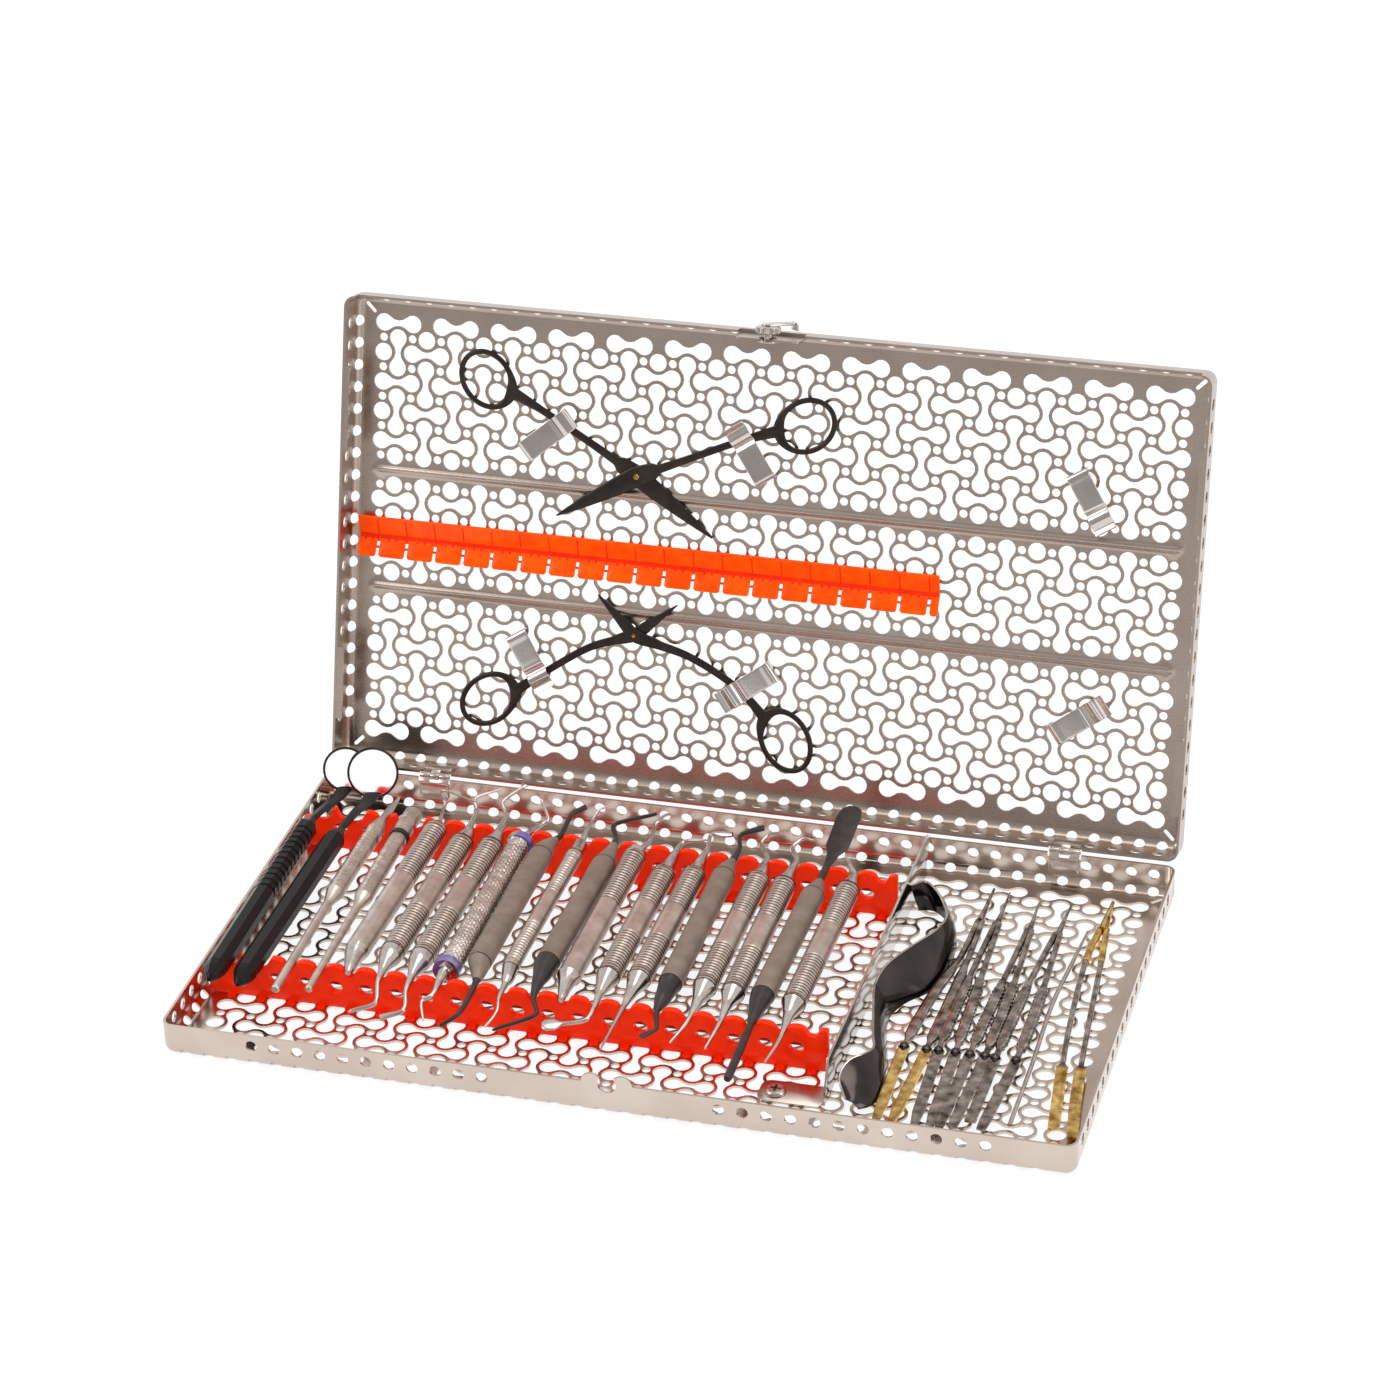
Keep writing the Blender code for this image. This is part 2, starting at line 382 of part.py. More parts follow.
    "spatula_18": [(1.4, -92.4, 18, 1.4), (1.4, -91, 18, 1.7), (1.0, -66, 18.4, 1.7), (0.8, -56, 18.7, 1.3),
                   (0.2, -40, h, 4.2), (0.2, -35, h, 4.9), (1.2, 40, h, 4.9), (1.4, 47, h, 2.9), (1.2, 52, h, 1.7, 1.5), (1.2, 62, h, 1.5, 1.0),
                   (1.6, 66, 19.6, 2.0, 0.8), (2.1, 70, 20.4, 2.6, 0.6), (2.7, 75, 21.7, 5.0, 0.5),
                   (3.6, 92, 26.5, 5.2, 0.5), (4.1, 97, 27.9, 4.2, 0.5), (4.2, 98.6, 28.3, 2.2, 0.5)],
    "scaler_19": [(-0.6, -76.4, 17, 0.4), (1.2, -66, 18.0, 0.8), (1.6, -57, 18.6, 1.1), (1.0, -46, h, 2.4),
                  (0.8, -38, h, 4.9), (1.6, 47, h, 4.9), (1.7, 53.5, h, 2.9), (1.4, 58.6, h, 1.5),
                  (-2.2, 65.8, 19.1, 0.9), (-2.8, 67.2, 19.4, 0.8), (-4.5, 69.2, 20.2, 0.5)],
}
for slot, (name, path) in enumerate(instruments.items()):
    x = column(2 * slot)
    solid(name, *tube([(x + p[0],) + tuple(p[1:]) for p in path]))

# ---- mirror heads: thin discs that lean on the back of the tray, facing forward and up
facing = Vector((0.25, -0.90, 0.36)).normalized()
for name, slot, (dx, y, z), radius in (("mirror_head_1", 0, (-1.9, 91.4, 20.0), 9.6),
                                       ("mirror_head_2", 1, (-2.3, 91.7, 19.8), 11.0)):
    side = facing.cross(Vector((0, 0, 1))).normalized()
    up = side.cross(facing)
    centre = Vector((column(2 * slot) + dx, y, z))
    verts = [centre + facing * d + (side * math.cos(k * math.pi / 12) + up * math.sin(k * math.pi / 12)) * radius
             for d in (-0.6, 0.6) for k in range(24)]
    faces = [tuple(range(24)), tuple(range(47, 23, -1))]
    faces += [(k, (k + 1) % 24, 24 + (k + 1) % 24, 24 + k) for k in range(24)]
    solid(name, verts, faces)

# ---- loose compartment: cheek retractor, spring-handled micro instruments, needle holder, probe
path = [(85.5, 68), (92, 60.5), (98, 51), (101, 40), (100.5, 28), (95, 13), (88.5, 0), (86.5, -12), (89, -27), (93.5, -43),
        (96, -56), (97, -68), (97, -82)]
solid("cheek_retractor", *prism(ribbonOutline(path, [1.8] * len(path)), 1.3, 11.5, "z"))


def springInstrument(name, tip, crotch, left, right, thick, low, high):
    def sides(arm):
        outline = ribbonOutline(arm, [thick] * len(arm))
        return outline[:len(arm)], outline[len(arm):][::-1]
    leftEast, leftWest = sides(left)     # arms run from the crotch to the front, so +90 degrees is east
    rightEast, rightWest = sides(right)
    outline = ([(tip[0] - 0.5, tip[1])] + leftWest + leftEast[::-1][:-1] + [crotch] + rightWest[1:]
               + rightEast[::-1] + [(tip[0] + 0.5, tip[1])])
    return solid(name, *prism(outline, low, high, "z"))


springInstrument("micro_needle_holder_1", (111.4, 84), (111.2, 52), [(109.9, 58), (109.2, 29), (105.2, 5), (102.2, -34),
                 (103, -88)], [(112.5, 58), (112.7, 25), (111.3, -32), (109, -88)], 1.6, 1.3, 7.4)
springInstrument("micro_forceps_2", (118.3, 83), (118.4, 52), [(117.1, 58), (116.2, 16), (115.6, -20), (116, -40),
                 (118, -86)], [(119.7, 58), (121, 12), (122.6, -36), (124, -86)], 1.6, 1.3, 7.0)
springInstrument("micro_forceps_3", (131.5, 78), (132.3, 50), [(130.9, 56), (130, 20), (128.6, -25), (128.2, -51),
                 (127.6, -86)], [(133.5, 56), (134.4, 17), (134.4, -34), (132.5, -85)], 1.6, 1.3, 7.0)
springInstrument("micro_scissors_4", (144.8, 79), (144.0, 50), [(142.7, 56), (140.4, 20), (138.8, -30), (138.4, -80)],
                 [(145.4, 56), (146.6, 16), (147, -30), (143.5, -84)], 1.6, 1.3, 7.0)
springInstrument("gold_needle_holder_5", (161.2, 84), (162.0, 34), [(159.4, 62), (158.9, 41), (163, -16), (170.5, -78)],
                 [(163.6, 62), (165.4, 40), (169.6, -8), (174.5, -54), (178.6, -82)], 2.0, 1.3, 8.0)
solid("thin_probe_6", *tube([(155, 63, 3, 0.5), (153.6, 40, 2.8, 0.9), (151.8, 9, 2.4, 0.9), (152.8, -34, 2.4, 0.9),
                             (153, -76, 2.4, 0.9)], 6))
print("instrument tray built")
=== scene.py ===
import math

import bmesh
import bpy
from mathutils import Matrix, Vector, geometry


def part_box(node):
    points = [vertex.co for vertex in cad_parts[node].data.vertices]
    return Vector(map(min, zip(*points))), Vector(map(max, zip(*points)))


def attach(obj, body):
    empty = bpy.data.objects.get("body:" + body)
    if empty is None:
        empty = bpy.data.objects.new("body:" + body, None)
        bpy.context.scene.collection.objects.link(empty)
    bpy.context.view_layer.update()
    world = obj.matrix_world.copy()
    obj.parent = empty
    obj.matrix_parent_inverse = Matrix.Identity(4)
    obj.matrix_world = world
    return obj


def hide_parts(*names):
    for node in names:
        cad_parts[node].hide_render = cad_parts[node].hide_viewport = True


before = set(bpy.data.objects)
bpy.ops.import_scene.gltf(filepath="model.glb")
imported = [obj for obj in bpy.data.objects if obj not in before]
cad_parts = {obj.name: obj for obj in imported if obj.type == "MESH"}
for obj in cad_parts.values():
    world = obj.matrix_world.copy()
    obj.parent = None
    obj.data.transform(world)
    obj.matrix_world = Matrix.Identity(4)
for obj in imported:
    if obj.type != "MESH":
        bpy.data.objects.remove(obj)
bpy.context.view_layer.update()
bpy.context.scene.view_settings.view_transform = "Standard"

tray = {
    "pitch": 6.35,           # lattice of the holes
    "hole": 0.6, "dot": 0.285,                                  # radii in lattice units
    "ribHalf": 1.75, "ribLift": 0.85, "ribFade": 4.0,           # pressed ribs of the lid
    "ribEnd": 54.6,                                             # in lattice units
    "slotRadius": 0.8, "slotLength": 4.8,                       # relief slots out of the corners
    "halfLength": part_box("base_tray")[1].x * 1000,
    "halfWidth": -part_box("base_tray")[0].y * 1000,
    "sheet": 1.0,
    "bend": 4.5,
    "corner": 4.7,
    "baseRim": 14.6,
    "lidRim": 15.0,
    "lidTop": 31.75,
    "hingeY": 102.4,
    "hingeZ": 14.8,
    "hingeX": 137.2,
    "openAngle": 106.2,
    "studZ": 14.4,
    "wallHole": 2.4,         # radius
    "wallPitch": 9.525,
    "wallRow": 12.3,         # second row of wall holes, along the sheet from the flat's edge
}
panelInside = tray["lidTop"] - tray["sheet"]
bendLength = (tray["bend"] - tray["sheet"] / 2) * math.pi / 2
asBuilt = Matrix.Identity(4)
openPose = (Matrix.Translation((0, tray["hingeY"], tray["hingeZ"]))
            @ Matrix.Rotation(math.radians(-tray["openAngle"]), 4, "X")
            @ Matrix.Translation((0, -tray["hingeY"], -tray["hingeZ"])))


def column(n):
    return (n - 27) * tray["pitch"]


def baseRow(n):
    return (14 - n) * tray["pitch"]


def lidRow(n):
    return (n - 14) * tray["pitch"]


def linear(code):
    # sRGB hex to linear colour
    parts = [int(code[i:i + 2], 16) / 255 for i in (1, 3, 5)]
    return [c / 12.92 if c <= 0.04045 else ((c + 0.055) / 1.055) ** 2.4 for c in parts] + [1.0]


def addNode(tree, kind, settings=None, inputs=None):
    made = tree.nodes.new(kind)
    for key, value in (settings or {}).items():
        setattr(made, key, value)
    for key, value in (inputs or {}).items():
        if isinstance(value, bpy.types.NodeSocket):
            tree.links.new(value, made.inputs[key])
        else:
            made.inputs[key].default_value = value
    return made


def makeFinish(name, color, shade, metallic, roughness, grain, stretch=(1, 1, 1), bump=0.05, spread=0.08,
               cloud=18.0, extra=None):
    # fine grain (mm) goes to the relief and gloss, slow clouds (mm) to the colour: random tone for most finishes,
    # painted reflections for the gold and the polished spring steel
    material = bpy.data.materials.new(name)
    material.use_nodes = True
    tree = material.node_tree
    tree.nodes.clear()
    place = addNode(tree, "ShaderNodeTexCoord")
    turned = addNode(tree, "ShaderNodeMapping", inputs={"Vector": place.outputs["Object"], "Scale": stretch})
    fine = addNode(tree, "ShaderNodeTexNoise", inputs={"Vector": turned.outputs[0], "Scale": 1000 / grain,
                                                       "Detail": 3.0, "Roughness": 0.6})
    slow = addNode(tree, "ShaderNodeTexNoise", inputs={"Vector": place.outputs["Object"], "Scale": 1000 / cloud,
                                                       "Detail": 2.0})
    tint = addNode(tree, "ShaderNodeValToRGB", inputs={"Fac": slow.outputs["Fac"]})
    tint.color_ramp.elements[0].position = 0.3
    tint.color_ramp.elements[0].color = linear(shade)
    tint.color_ramp.elements[1].position = 0.7
    tint.color_ramp.elements[1].color = linear(color)
    gloss = addNode(tree, "ShaderNodeMapRange", inputs={"Value": fine.outputs["Fac"],
        "To Min": roughness - spread,
                                                        "To Max": roughness + spread})
    relief = addNode(tree, "ShaderNodeBump", inputs={"Height": fine.outputs["Fac"], "Strength": bump,
                                                     "Distance": 0.0003})
    body = addNode(tree, "ShaderNodeBsdfPrincipled", inputs={
        "Base Color": tint.outputs["Color"], "Metallic": metallic, "Roughness": gloss.outputs[0],
        "Normal": relief.outputs[0], **(extra or {})})
    addNode(tree, "ShaderNodeOutputMaterial", inputs={"Surface": body.outputs[0]})
    return material


def paintGrooveShade(material, pitch, dark):
    # painted shade in the turned grooves: dark bands multiplied into the colour round the handle, one every pitch (mm)
    tree = material.node_tree
    body = next(n for n in tree.nodes if n.type == "BSDF_PRINCIPLED")
    place = next(n for n in tree.nodes if n.type == "TEX_COORD")
    wave = addNode(tree, "ShaderNodeTexWave", {"wave_type": "BANDS", "bands_direction": "Y",
        "wave_profile": "SIN"},
                   {"Vector": place.outputs["Object"], "Scale": 2 * math.pi / (20 * pitch * 0.001),
                   "Distortion": 0.0})
    mixed = addNode(tree, "ShaderNodeMix", {"data_type": "RGBA", "blend_type": "MULTIPLY"},
        {"Factor": wave.outputs["Fac"]})
    tree.links.new(body.inputs["Base Color"].links[0].from_socket, mixed.inputs[6])
    mixed.inputs[7].default_value = linear(dark)
    tree.links.new(mixed.outputs[2], body.inputs["Base Color"])
    return material


finishes = {
    # electropolished stainless sheet: bright, warm grey, soft mirror with a faint rolling grain
    "traySteel": makeFinish("electropolishedSteel", "#D4C6BB", "#C9B9AD", 1.0, 0.17, 0.35, (1, 0.08, 1), 0.03,
    0.05, 30),
    # the lid's inner sheet is brushed a little duller, so it reads as an even warm grey
    "lidSteel": makeFinish("brushedLidSteel", "#BFB0A5", "#B4A498", 1.0, 0.28, 0.35, (0.08, 1, 1), 0.04, 0.05,
    30),
    # stamped hinge leaves, with the rougher skin of the press
    "hingeSteel": makeFinish("stampedHingeSteel", "#CFC3BA", "#BEB1A7", 1.0, 0.22, 0.5, (1, 1, 1), 0.06, 0.06,
    9),
    # cold rolled spring strip, polished: sharp reflections
    "springSteel": makeFinish("polishedSpringSteel", "#D9D2CD", "#C8BFB9", 1.0, 0.13, 0.3, (0.1, 1, 1), 0.03,
    0.04, 12),
    "lockSteel": makeFinish("turnedLockSteel", "#D2C8C0", "#BDB2AA", 1.0, 0.2, 0.4, (1, 1, 1), 0.05, 0.06, 6),
    # glass-beaded stainless: satin grey, no sharp reflections
    "handleSteel": makeFinish("beadedHandleSteel", "#D8CDC4", "#B9ADA3", 1.0, 0.32, 0.22, (1, 1, 1), 0.16, 0.06,
    7),
    # turned handle steel whose groove shade is painted as dark bands
    "ringedSteel": paintGrooveShade(makeFinish("turnedRingedSteelWithPaintedGrooveShade", "#EADFD6", "#D2C6BC", 1.0, 0.28, 0.22, (1, 1, 1),
    0.12, 0.06, 7),
                            1.9, "#7A6D64"),
    "tipSteel": makeFinish("polishedTipSteel", "#C9C0BA", "#B3A9A2", 1.0, 0.16, 0.3, (1, 1, 1), 0.03, 0.05, 5),
    # ceramic-coated grey-brown handles: dull, with a fine tooth
    "matteCoat": makeFinish("blastedGreyCoating", "#9A8A7E", "#87776B", 0.5, 0.48, 0.25, (1, 1, 1), 0.18, 0.06,
    8),
    # diamond-like black coating on working ends
    "blackTip": makeFinish("blackCarbonCoating", "#39322F", "#292321", 0.25, 0.36, 0.3, (1, 1, 1), 0.05, 0.05,
    5),
    "blackHandle": makeFinish("blackAnodisedAluminium", "#1A1411", "#0F0A08", 0.0, 0.3, 0.25, (1, 1, 1), 0.12,
    0.06, 8,
                              {"Specular IOR Level": 0.2}),
    "scissorCoat": makeFinish("blackCoatedScissorSteel", "#3C332D", "#2A231F", 0.6, 0.34, 0.3, (1, 1, 1), 0.08,
    0.06, 8),
    "gunmetal": makeFinish("gunmetalCoating", "#4F4846", "#3A3433", 1.0, 0.14, 0.5, (1, 1, 1), 0.03, 0.06, 14),
    # polished spring steel: deep grey-brown reflections painted into its colour as slow clouds
    "darkSpring": makeFinish("mirrorSpringSteel", "#BDB2AA", "#4E453F", 1.0, 0.1, 0.4, (1, 1, 1), 0.03, 0.05, 5),
    # gold plate: dark patches painted into its colour as slow clouds stand for reflections
    "gold": makeFinish("goldPlate", "#FFDC8C", "#9A6C28", 1.0, 0.1, 0.4, (1, 1, 1), 0.03, 0.04, 5),
    "brass": makeFinish("turnedBrassScrew", "#C99A55", "#A87A3C", 1.0, 0.22, 0.4, (1, 1, 1), 0.05, 0.06, 3),
    "violet": makeFinish("violetAnodisedRing", "#7F70B8", "#66589F", 0.3, 0.34, 0.3, (1, 1, 1), 0.08, 0.05, 4),
    "rubber": makeFinish("blackRubberRing", "#25211F", "#1A1716", 0.0, 0.55, 0.3, (1, 1, 1), 0.1, 0.06, 4),
    # front-surface glass: pale, very smooth
    "mirrorGlass": makeFinish("silveredGlass", "#F4F2F0", "#ECEAE8", 1.0, 0.09, 2.0, (1, 1, 1), 0.0, 0.02, 10),
}


def makeSilicone(name, color, shade, paintedGlowColor, paintedGlowStrength):
    # clear-pigmented silicone, cast in a polished mould, with some subsurface light; the emission on top is a painted
    # glow
    return makeFinish(name, color, shade, 0.0, 0.2, 0.6, (1, 1, 1), 0.03, 0.05, 6, {
        "IOR": 1.41, "Specular IOR Level": 0.2, "Subsurface Weight": 0.15,
        "Subsurface Radius": (0.004, 0.0006, 0.0001),
        "Emission Color": linear(paintedGlowColor), "Emission Strength": paintedGlowStrength})


finishes["silicone"] = makeSilicone("castOrangeSilicone", "#F03000", "#DC2200", "#FF2A00", 0.26)
# darker, barely glowing copy of the silicone: painted shade, used across the tops of the rail holes
finishes["paintedShadeSilicone"] = makeSilicone("shadedOrangeSilicone", "#B41A00", "#941000", "#FF2000", 0.05)
finishes["combSilicone"] = makeSilicone("thinOrangeSilicone", "#FF5A00", "#F84000", "#FF5200", 0.3)
print("materials ready")


def addPiece(name, body, slot, materials, parts, replaced=(), pose=asBuilt, angle=32, bevel=0.0):
    # parts: (verts, faces, material number, or one number for each face). One object, riding on its body
    verts, faces, numbers = [], [], []
    for part in parts:
        first = len(verts)
        verts += [pose @ Vector(v) for v in part[0]]
        faces += [tuple(i + first for i in face) for face in part[1]]
        number = part[2] if len(part) > 2 else 0
        numbers += number if isinstance(number, list) else [number] * len(part[1])
    mesh = bpy.data.meshes.new(name)
    mesh.from_pydata([tuple(v * 0.001) for v in verts], [], faces)
    for material in materials:
        mesh.materials.append(finishes[material])
    mesh.polygons.foreach_set("material_index", numbers)
    work = bmesh.new()
    work.from_mesh(mesh)
    bmesh.ops.recalc_face_normals(work, faces=work.faces)
    work.to_mesh(mesh)
    work.free()
    obj = bpy.data.objects.new(name, mesh)
    bpy.context.scene.collection.objects.link(obj)
    if bevel:
        step = obj.modifiers.new("edgeRound", "BEVEL")
        step.width = bevel * 0.001
        step.segments = 2
        step.limit_method = "ANGLE"
        step.angle_limit = math.radians(40)
        step.harden_normals = False
        graph = bpy.context.evaluated_depsgraph_get()
        rounded = bpy.data.meshes.new_from_object(obj.evaluated_get(graph))
        obj.modifiers.clear()
        obj.data = rounded
    obj.data.shade_smooth()
    obj.data.set_sharp_from_angle(angle=math.radians(angle))
    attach(obj, body)
    if replaced:
        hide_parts(*replaced)
    return obj


def arc(cx, cy, radius, start, end, steps, tall=None):
    tall = radius if tall is None else tall
    return [(cx + radius * math.cos(math.radians(start + (end - start) * k / steps)),
             cy + tall * math.sin(math.radians(start + (end - start) * k / steps))) for k in range(steps + 1)]


def circle(cx, cy, radius, steps=14):
    return arc(cx, cy, radius, 0, 360, steps)[:-1]


def netOf(outline, holes, lines=()):
    # flat sheet with holes as points and triangles; lines are kept as edges so that the sheet can bend along them
    points, edges, faces = [], [], []
    for loop in [outline] + list(holes):
        area = sum(a[0] * b[1] - b[0] * a[1] for a, b in zip(loop, list(loop[1:]) + [loop[0]]))
        loop = loop if area > 0 else loop[::-1]      # holes are known by what lies to the left of their edge
        faces.append(list(range(len(points), len(points) + len(loop))))
        points += [Vector(p) for p in loop]
    for line in lines:
        edges += [(len(points) + k, len(points) + k + 1) for k in range(len(line) - 1)]
        points += [Vector(p) for p in line]
    found = geometry.delaunay_2d_cdt(points, edges, faces, 1, 1e-5)
    triangles = [tuple(face) for face, origin in zip(found[2], found[5]) if list(origin) == [0]]
    return [tuple(p) for p in found[0]], triangles


def sheetBody(patches, thickness):
    # joins patches (points, triangles, place) into one closed sheet. place(u, v, depth) gives the space point
    index, outer, inner, triangles = {}, [], [], []
    for points, faces, place in patches:
        numbers = []
        for u, v in points:
            spot = place(u, v, 0.0)
            key = tuple(round(c, 3) for c in spot)
            if key not in index:
                index[key] = len(outer)
                outer.append(spot)
                inner.append(place(u, v, thickness))
            numbers.append(index[key])
        for face in faces:
            a, b, c = (numbers[i] for i in face)
            if len({a, b, c}) < 3:
                continue
            pa, pb, pc = Vector(outer[a]), Vector(outer[b]), Vector(outer[c])
            out = pa - Vector(inner[a]) + pb - Vector(inner[b]) + pc - Vector(inner[c])
            triangles.append((a, b, c) if (pb - pa).cross(pc - pa).dot(out) > 0 else (a, c, b))
    n = len(outer)
    used = {}
    for a, b, c in triangles:
        for e in ((a, b), (b, c), (c, a)):
            used[e] = used.get(e, 0) + 1
    rim = [(b, a, a + n, b + n) for a, b in used if (b, a) not in used]
    return outer + inner, triangles + [(c + n, b + n, a + n) for a, b, c in triangles] + rim


def plate(outline, low, high, axis, holes=()):
    # flat plate between low and high along one axis, with holes
    order = {"x": lambda u, v, w: (w, u, v), "y": lambda u, v, w: (u, w, v),
             "z": lambda u, v, w: (u, v, w)}[axis]
    points, faces = netOf(outline, holes)
    return sheetBody([(points, faces, lambda u, v, depth: order(u, v, high if depth == 0 else low))], 1.0)


def smoothPath(path, step):
    # smooth curve through points; every number after the third is blended in a straight line
    path = [tuple(p) for p in path]
    rows = []
    for i in range(len(path) - 1):
        p1, p2 = Vector(path[i][:3]), Vector(path[i + 1][:3])
        p0 = Vector(path[i - 1][:3]) if i else p1 * 2 - p2
        p3 = Vector(path[i + 2][:3]) if i + 2 < len(path) else p2 * 2 - p1
        t0 = 0.0
        t1 = t0 + max((p1 - p0).length, 1e-4) ** 0.5
        t2 = t1 + max((p2 - p1).length, 1e-4) ** 0.5
        t3 = t2 + max((p3 - p2).length, 1e-4) ** 0.5
        count = max(2, math.ceil((p2 - p1).length / step))
        for k in range(count + (i == len(path) - 2)):
            f = k / count
            t = t1 + (t2 - t1) * f
            a1 = p0 * ((t1 - t) / (t1 - t0)) + p1 * ((t - t0) / (t1 - t0))
            a2 = p1 * ((t2 - t) / (t2 - t1)) + p2 * ((t - t1) / (t2 - t1))
            a3 = p2 * ((t3 - t) / (t3 - t2)) + p3 * ((t - t2) / (t3 - t2))
            b1 = a1 * ((t2 - t) / (t2 - t0)) + a2 * ((t - t0) / (t2 - t0))
            b2 = a2 * ((t3 - t) / (t3 - t1)) + a3 * ((t - t1) / (t3 - t1))
            spot = b1 * ((t2 - t) / (t2 - t1)) + b2 * ((t - t1) / (t2 - t1))
            more = [a + (b - a) * f for a, b in zip(path[i][3:], path[i + 1][3:])]
            rows.append((spot, more))
    return rows


def sweep(rows, sides=16, square=1.0, turn=0.5, flip=Vector((0, 0, 1)), start=0):
    # bar along rows of (point, [half width, half height]); square under 1 makes the section boxy
    verts, faces = [], []
    spots = [row[0] for row in rows]
    frames = [None] * len(rows)

    def alongAt(i):
        return (spots[min(i + 1, len(rows) - 1)] - spots[max(i - 1, 0)]).normalized()

    along = alongAt(start)
    side = along.cross(flip).normalized()
    frames[start] = side
    for order in (range(start + 1, len(rows)), range(start - 1, -1, -1)):
        current = side
        for i in order:
            a = alongAt(i)
            current = (current - a * current.dot(a)).normalized()
            frames[i] = current
    for i, (spot, size) in enumerate(rows):
        up = frames[i].cross(alongAt(i))
        wide, tall = size[0], size[1] if len(size) > 1 else size[0]
        for k in range(sides):
            a = 2 * math.pi * (k + turn) / sides
            c, s = math.cos(a), math.sin(a)
            c, s = math.copysign(abs(c) ** square, c), math.copysign(abs(s) ** square, s)
            verts.append(spot + frames[i] * (wide * c) + up * (tall * s))
    for i in range(len(rows) - 1):
        for k in range(sides):
            a, b = i * sides + k, i * sides + (k + 1) % sides
            faces.append((a, b, b + sides, a + sides))
    faces += [tuple(range(sides)), tuple(range(len(verts) - 1, len(verts) - sides - 1, -1))]
    return verts, faces


def doubled(path):
    # gives each path point a height where it has only a width
    return [tuple(p) + (p[3],) if len(p) == 4 else tuple(p) for p in path]


def turned(profile, centre, axis="z", sides=32):
    # lathe: profile of (radius, height) turned about an axis through centre
    order = {"x": lambda a, b, h: (h, a, b), "y": lambda a, b, h: (a, h, b),
             "z": lambda a, b, h: (a, b, h)}[axis]
    verts, faces = [], []
    for radius, height in profile:
        for k in range(sides):
            a = 2 * math.pi * k / sides
            spot = order(radius * math.cos(a), radius * math.sin(a), height)
            verts.append(tuple(c + d for c, d in zip(centre, spot)))
    for i in range(len(profile) - 1):
        for k in range(sides):
            m = (k + 1) % sides
            faces.append((i * sides + k, i * sides + m, (i + 1) * sides + m, (i + 1) * sides + k))
    faces += [tuple(range(sides)), tuple(range(len(verts) - sides, len(verts)))]
    return verts, faces


def boneHole(cx, cy, upright):
    # two circles joined by a waist whose sides are arcs tangent to them
    r, neck = tray["hole"], math.sqrt(2) - tray["hole"]
    loop = arc(1, 0, r, -135, 135, 11) + arc(0, 1, neck, -45, -135, 4)[1:-1]
    loop += arc(-1, 0, r, 45, 315, 11) + arc(0, -1, neck, 135, 45, 4)[1:-1]
    return [(cx + (y if upright else x), cy + (x if upright else y)) for x, y in loop]


def latticeHoles(ribs):
    # the punched pattern in lattice units; ribs are rows where the lid is pressed and left whole
    holes = []
    skipped = {10, 18} if ribs else set()
    for m in range(8):
        for k in range(14):
            holes.append(boneHole(1 + 4 * k, 4 * m, False))
        for k in range(13):
            if m in (0, 7):
                holes.append(circle(3 + 4 * k, 1 if m == 0 else 27, tray["hole"]))
            else:
                holes.append(boneHole(3 + 4 * k, 4 * m, True))
    for m in range(7):
        row = 4 * m + 2
        for k in range(14):
            if row in skipped:
                holes += [circle(1 + 4 * k, y, tray["hole"]) for y in (row - 1, row + 1)]
            else:
                holes.append(boneHole(1 + 4 * k, row, True))
        if row not in skipped:
            holes += [boneHole(3 + 4 * k, row, False) for k in range(13)]
            holes += [circle(x, row, tray["hole"]) for x in (0, 54)]
    holes += [circle(x, y, tray["dot"], 10) for x in range(0, 55, 2) for y in range(1, 28, 2)]
    return holes


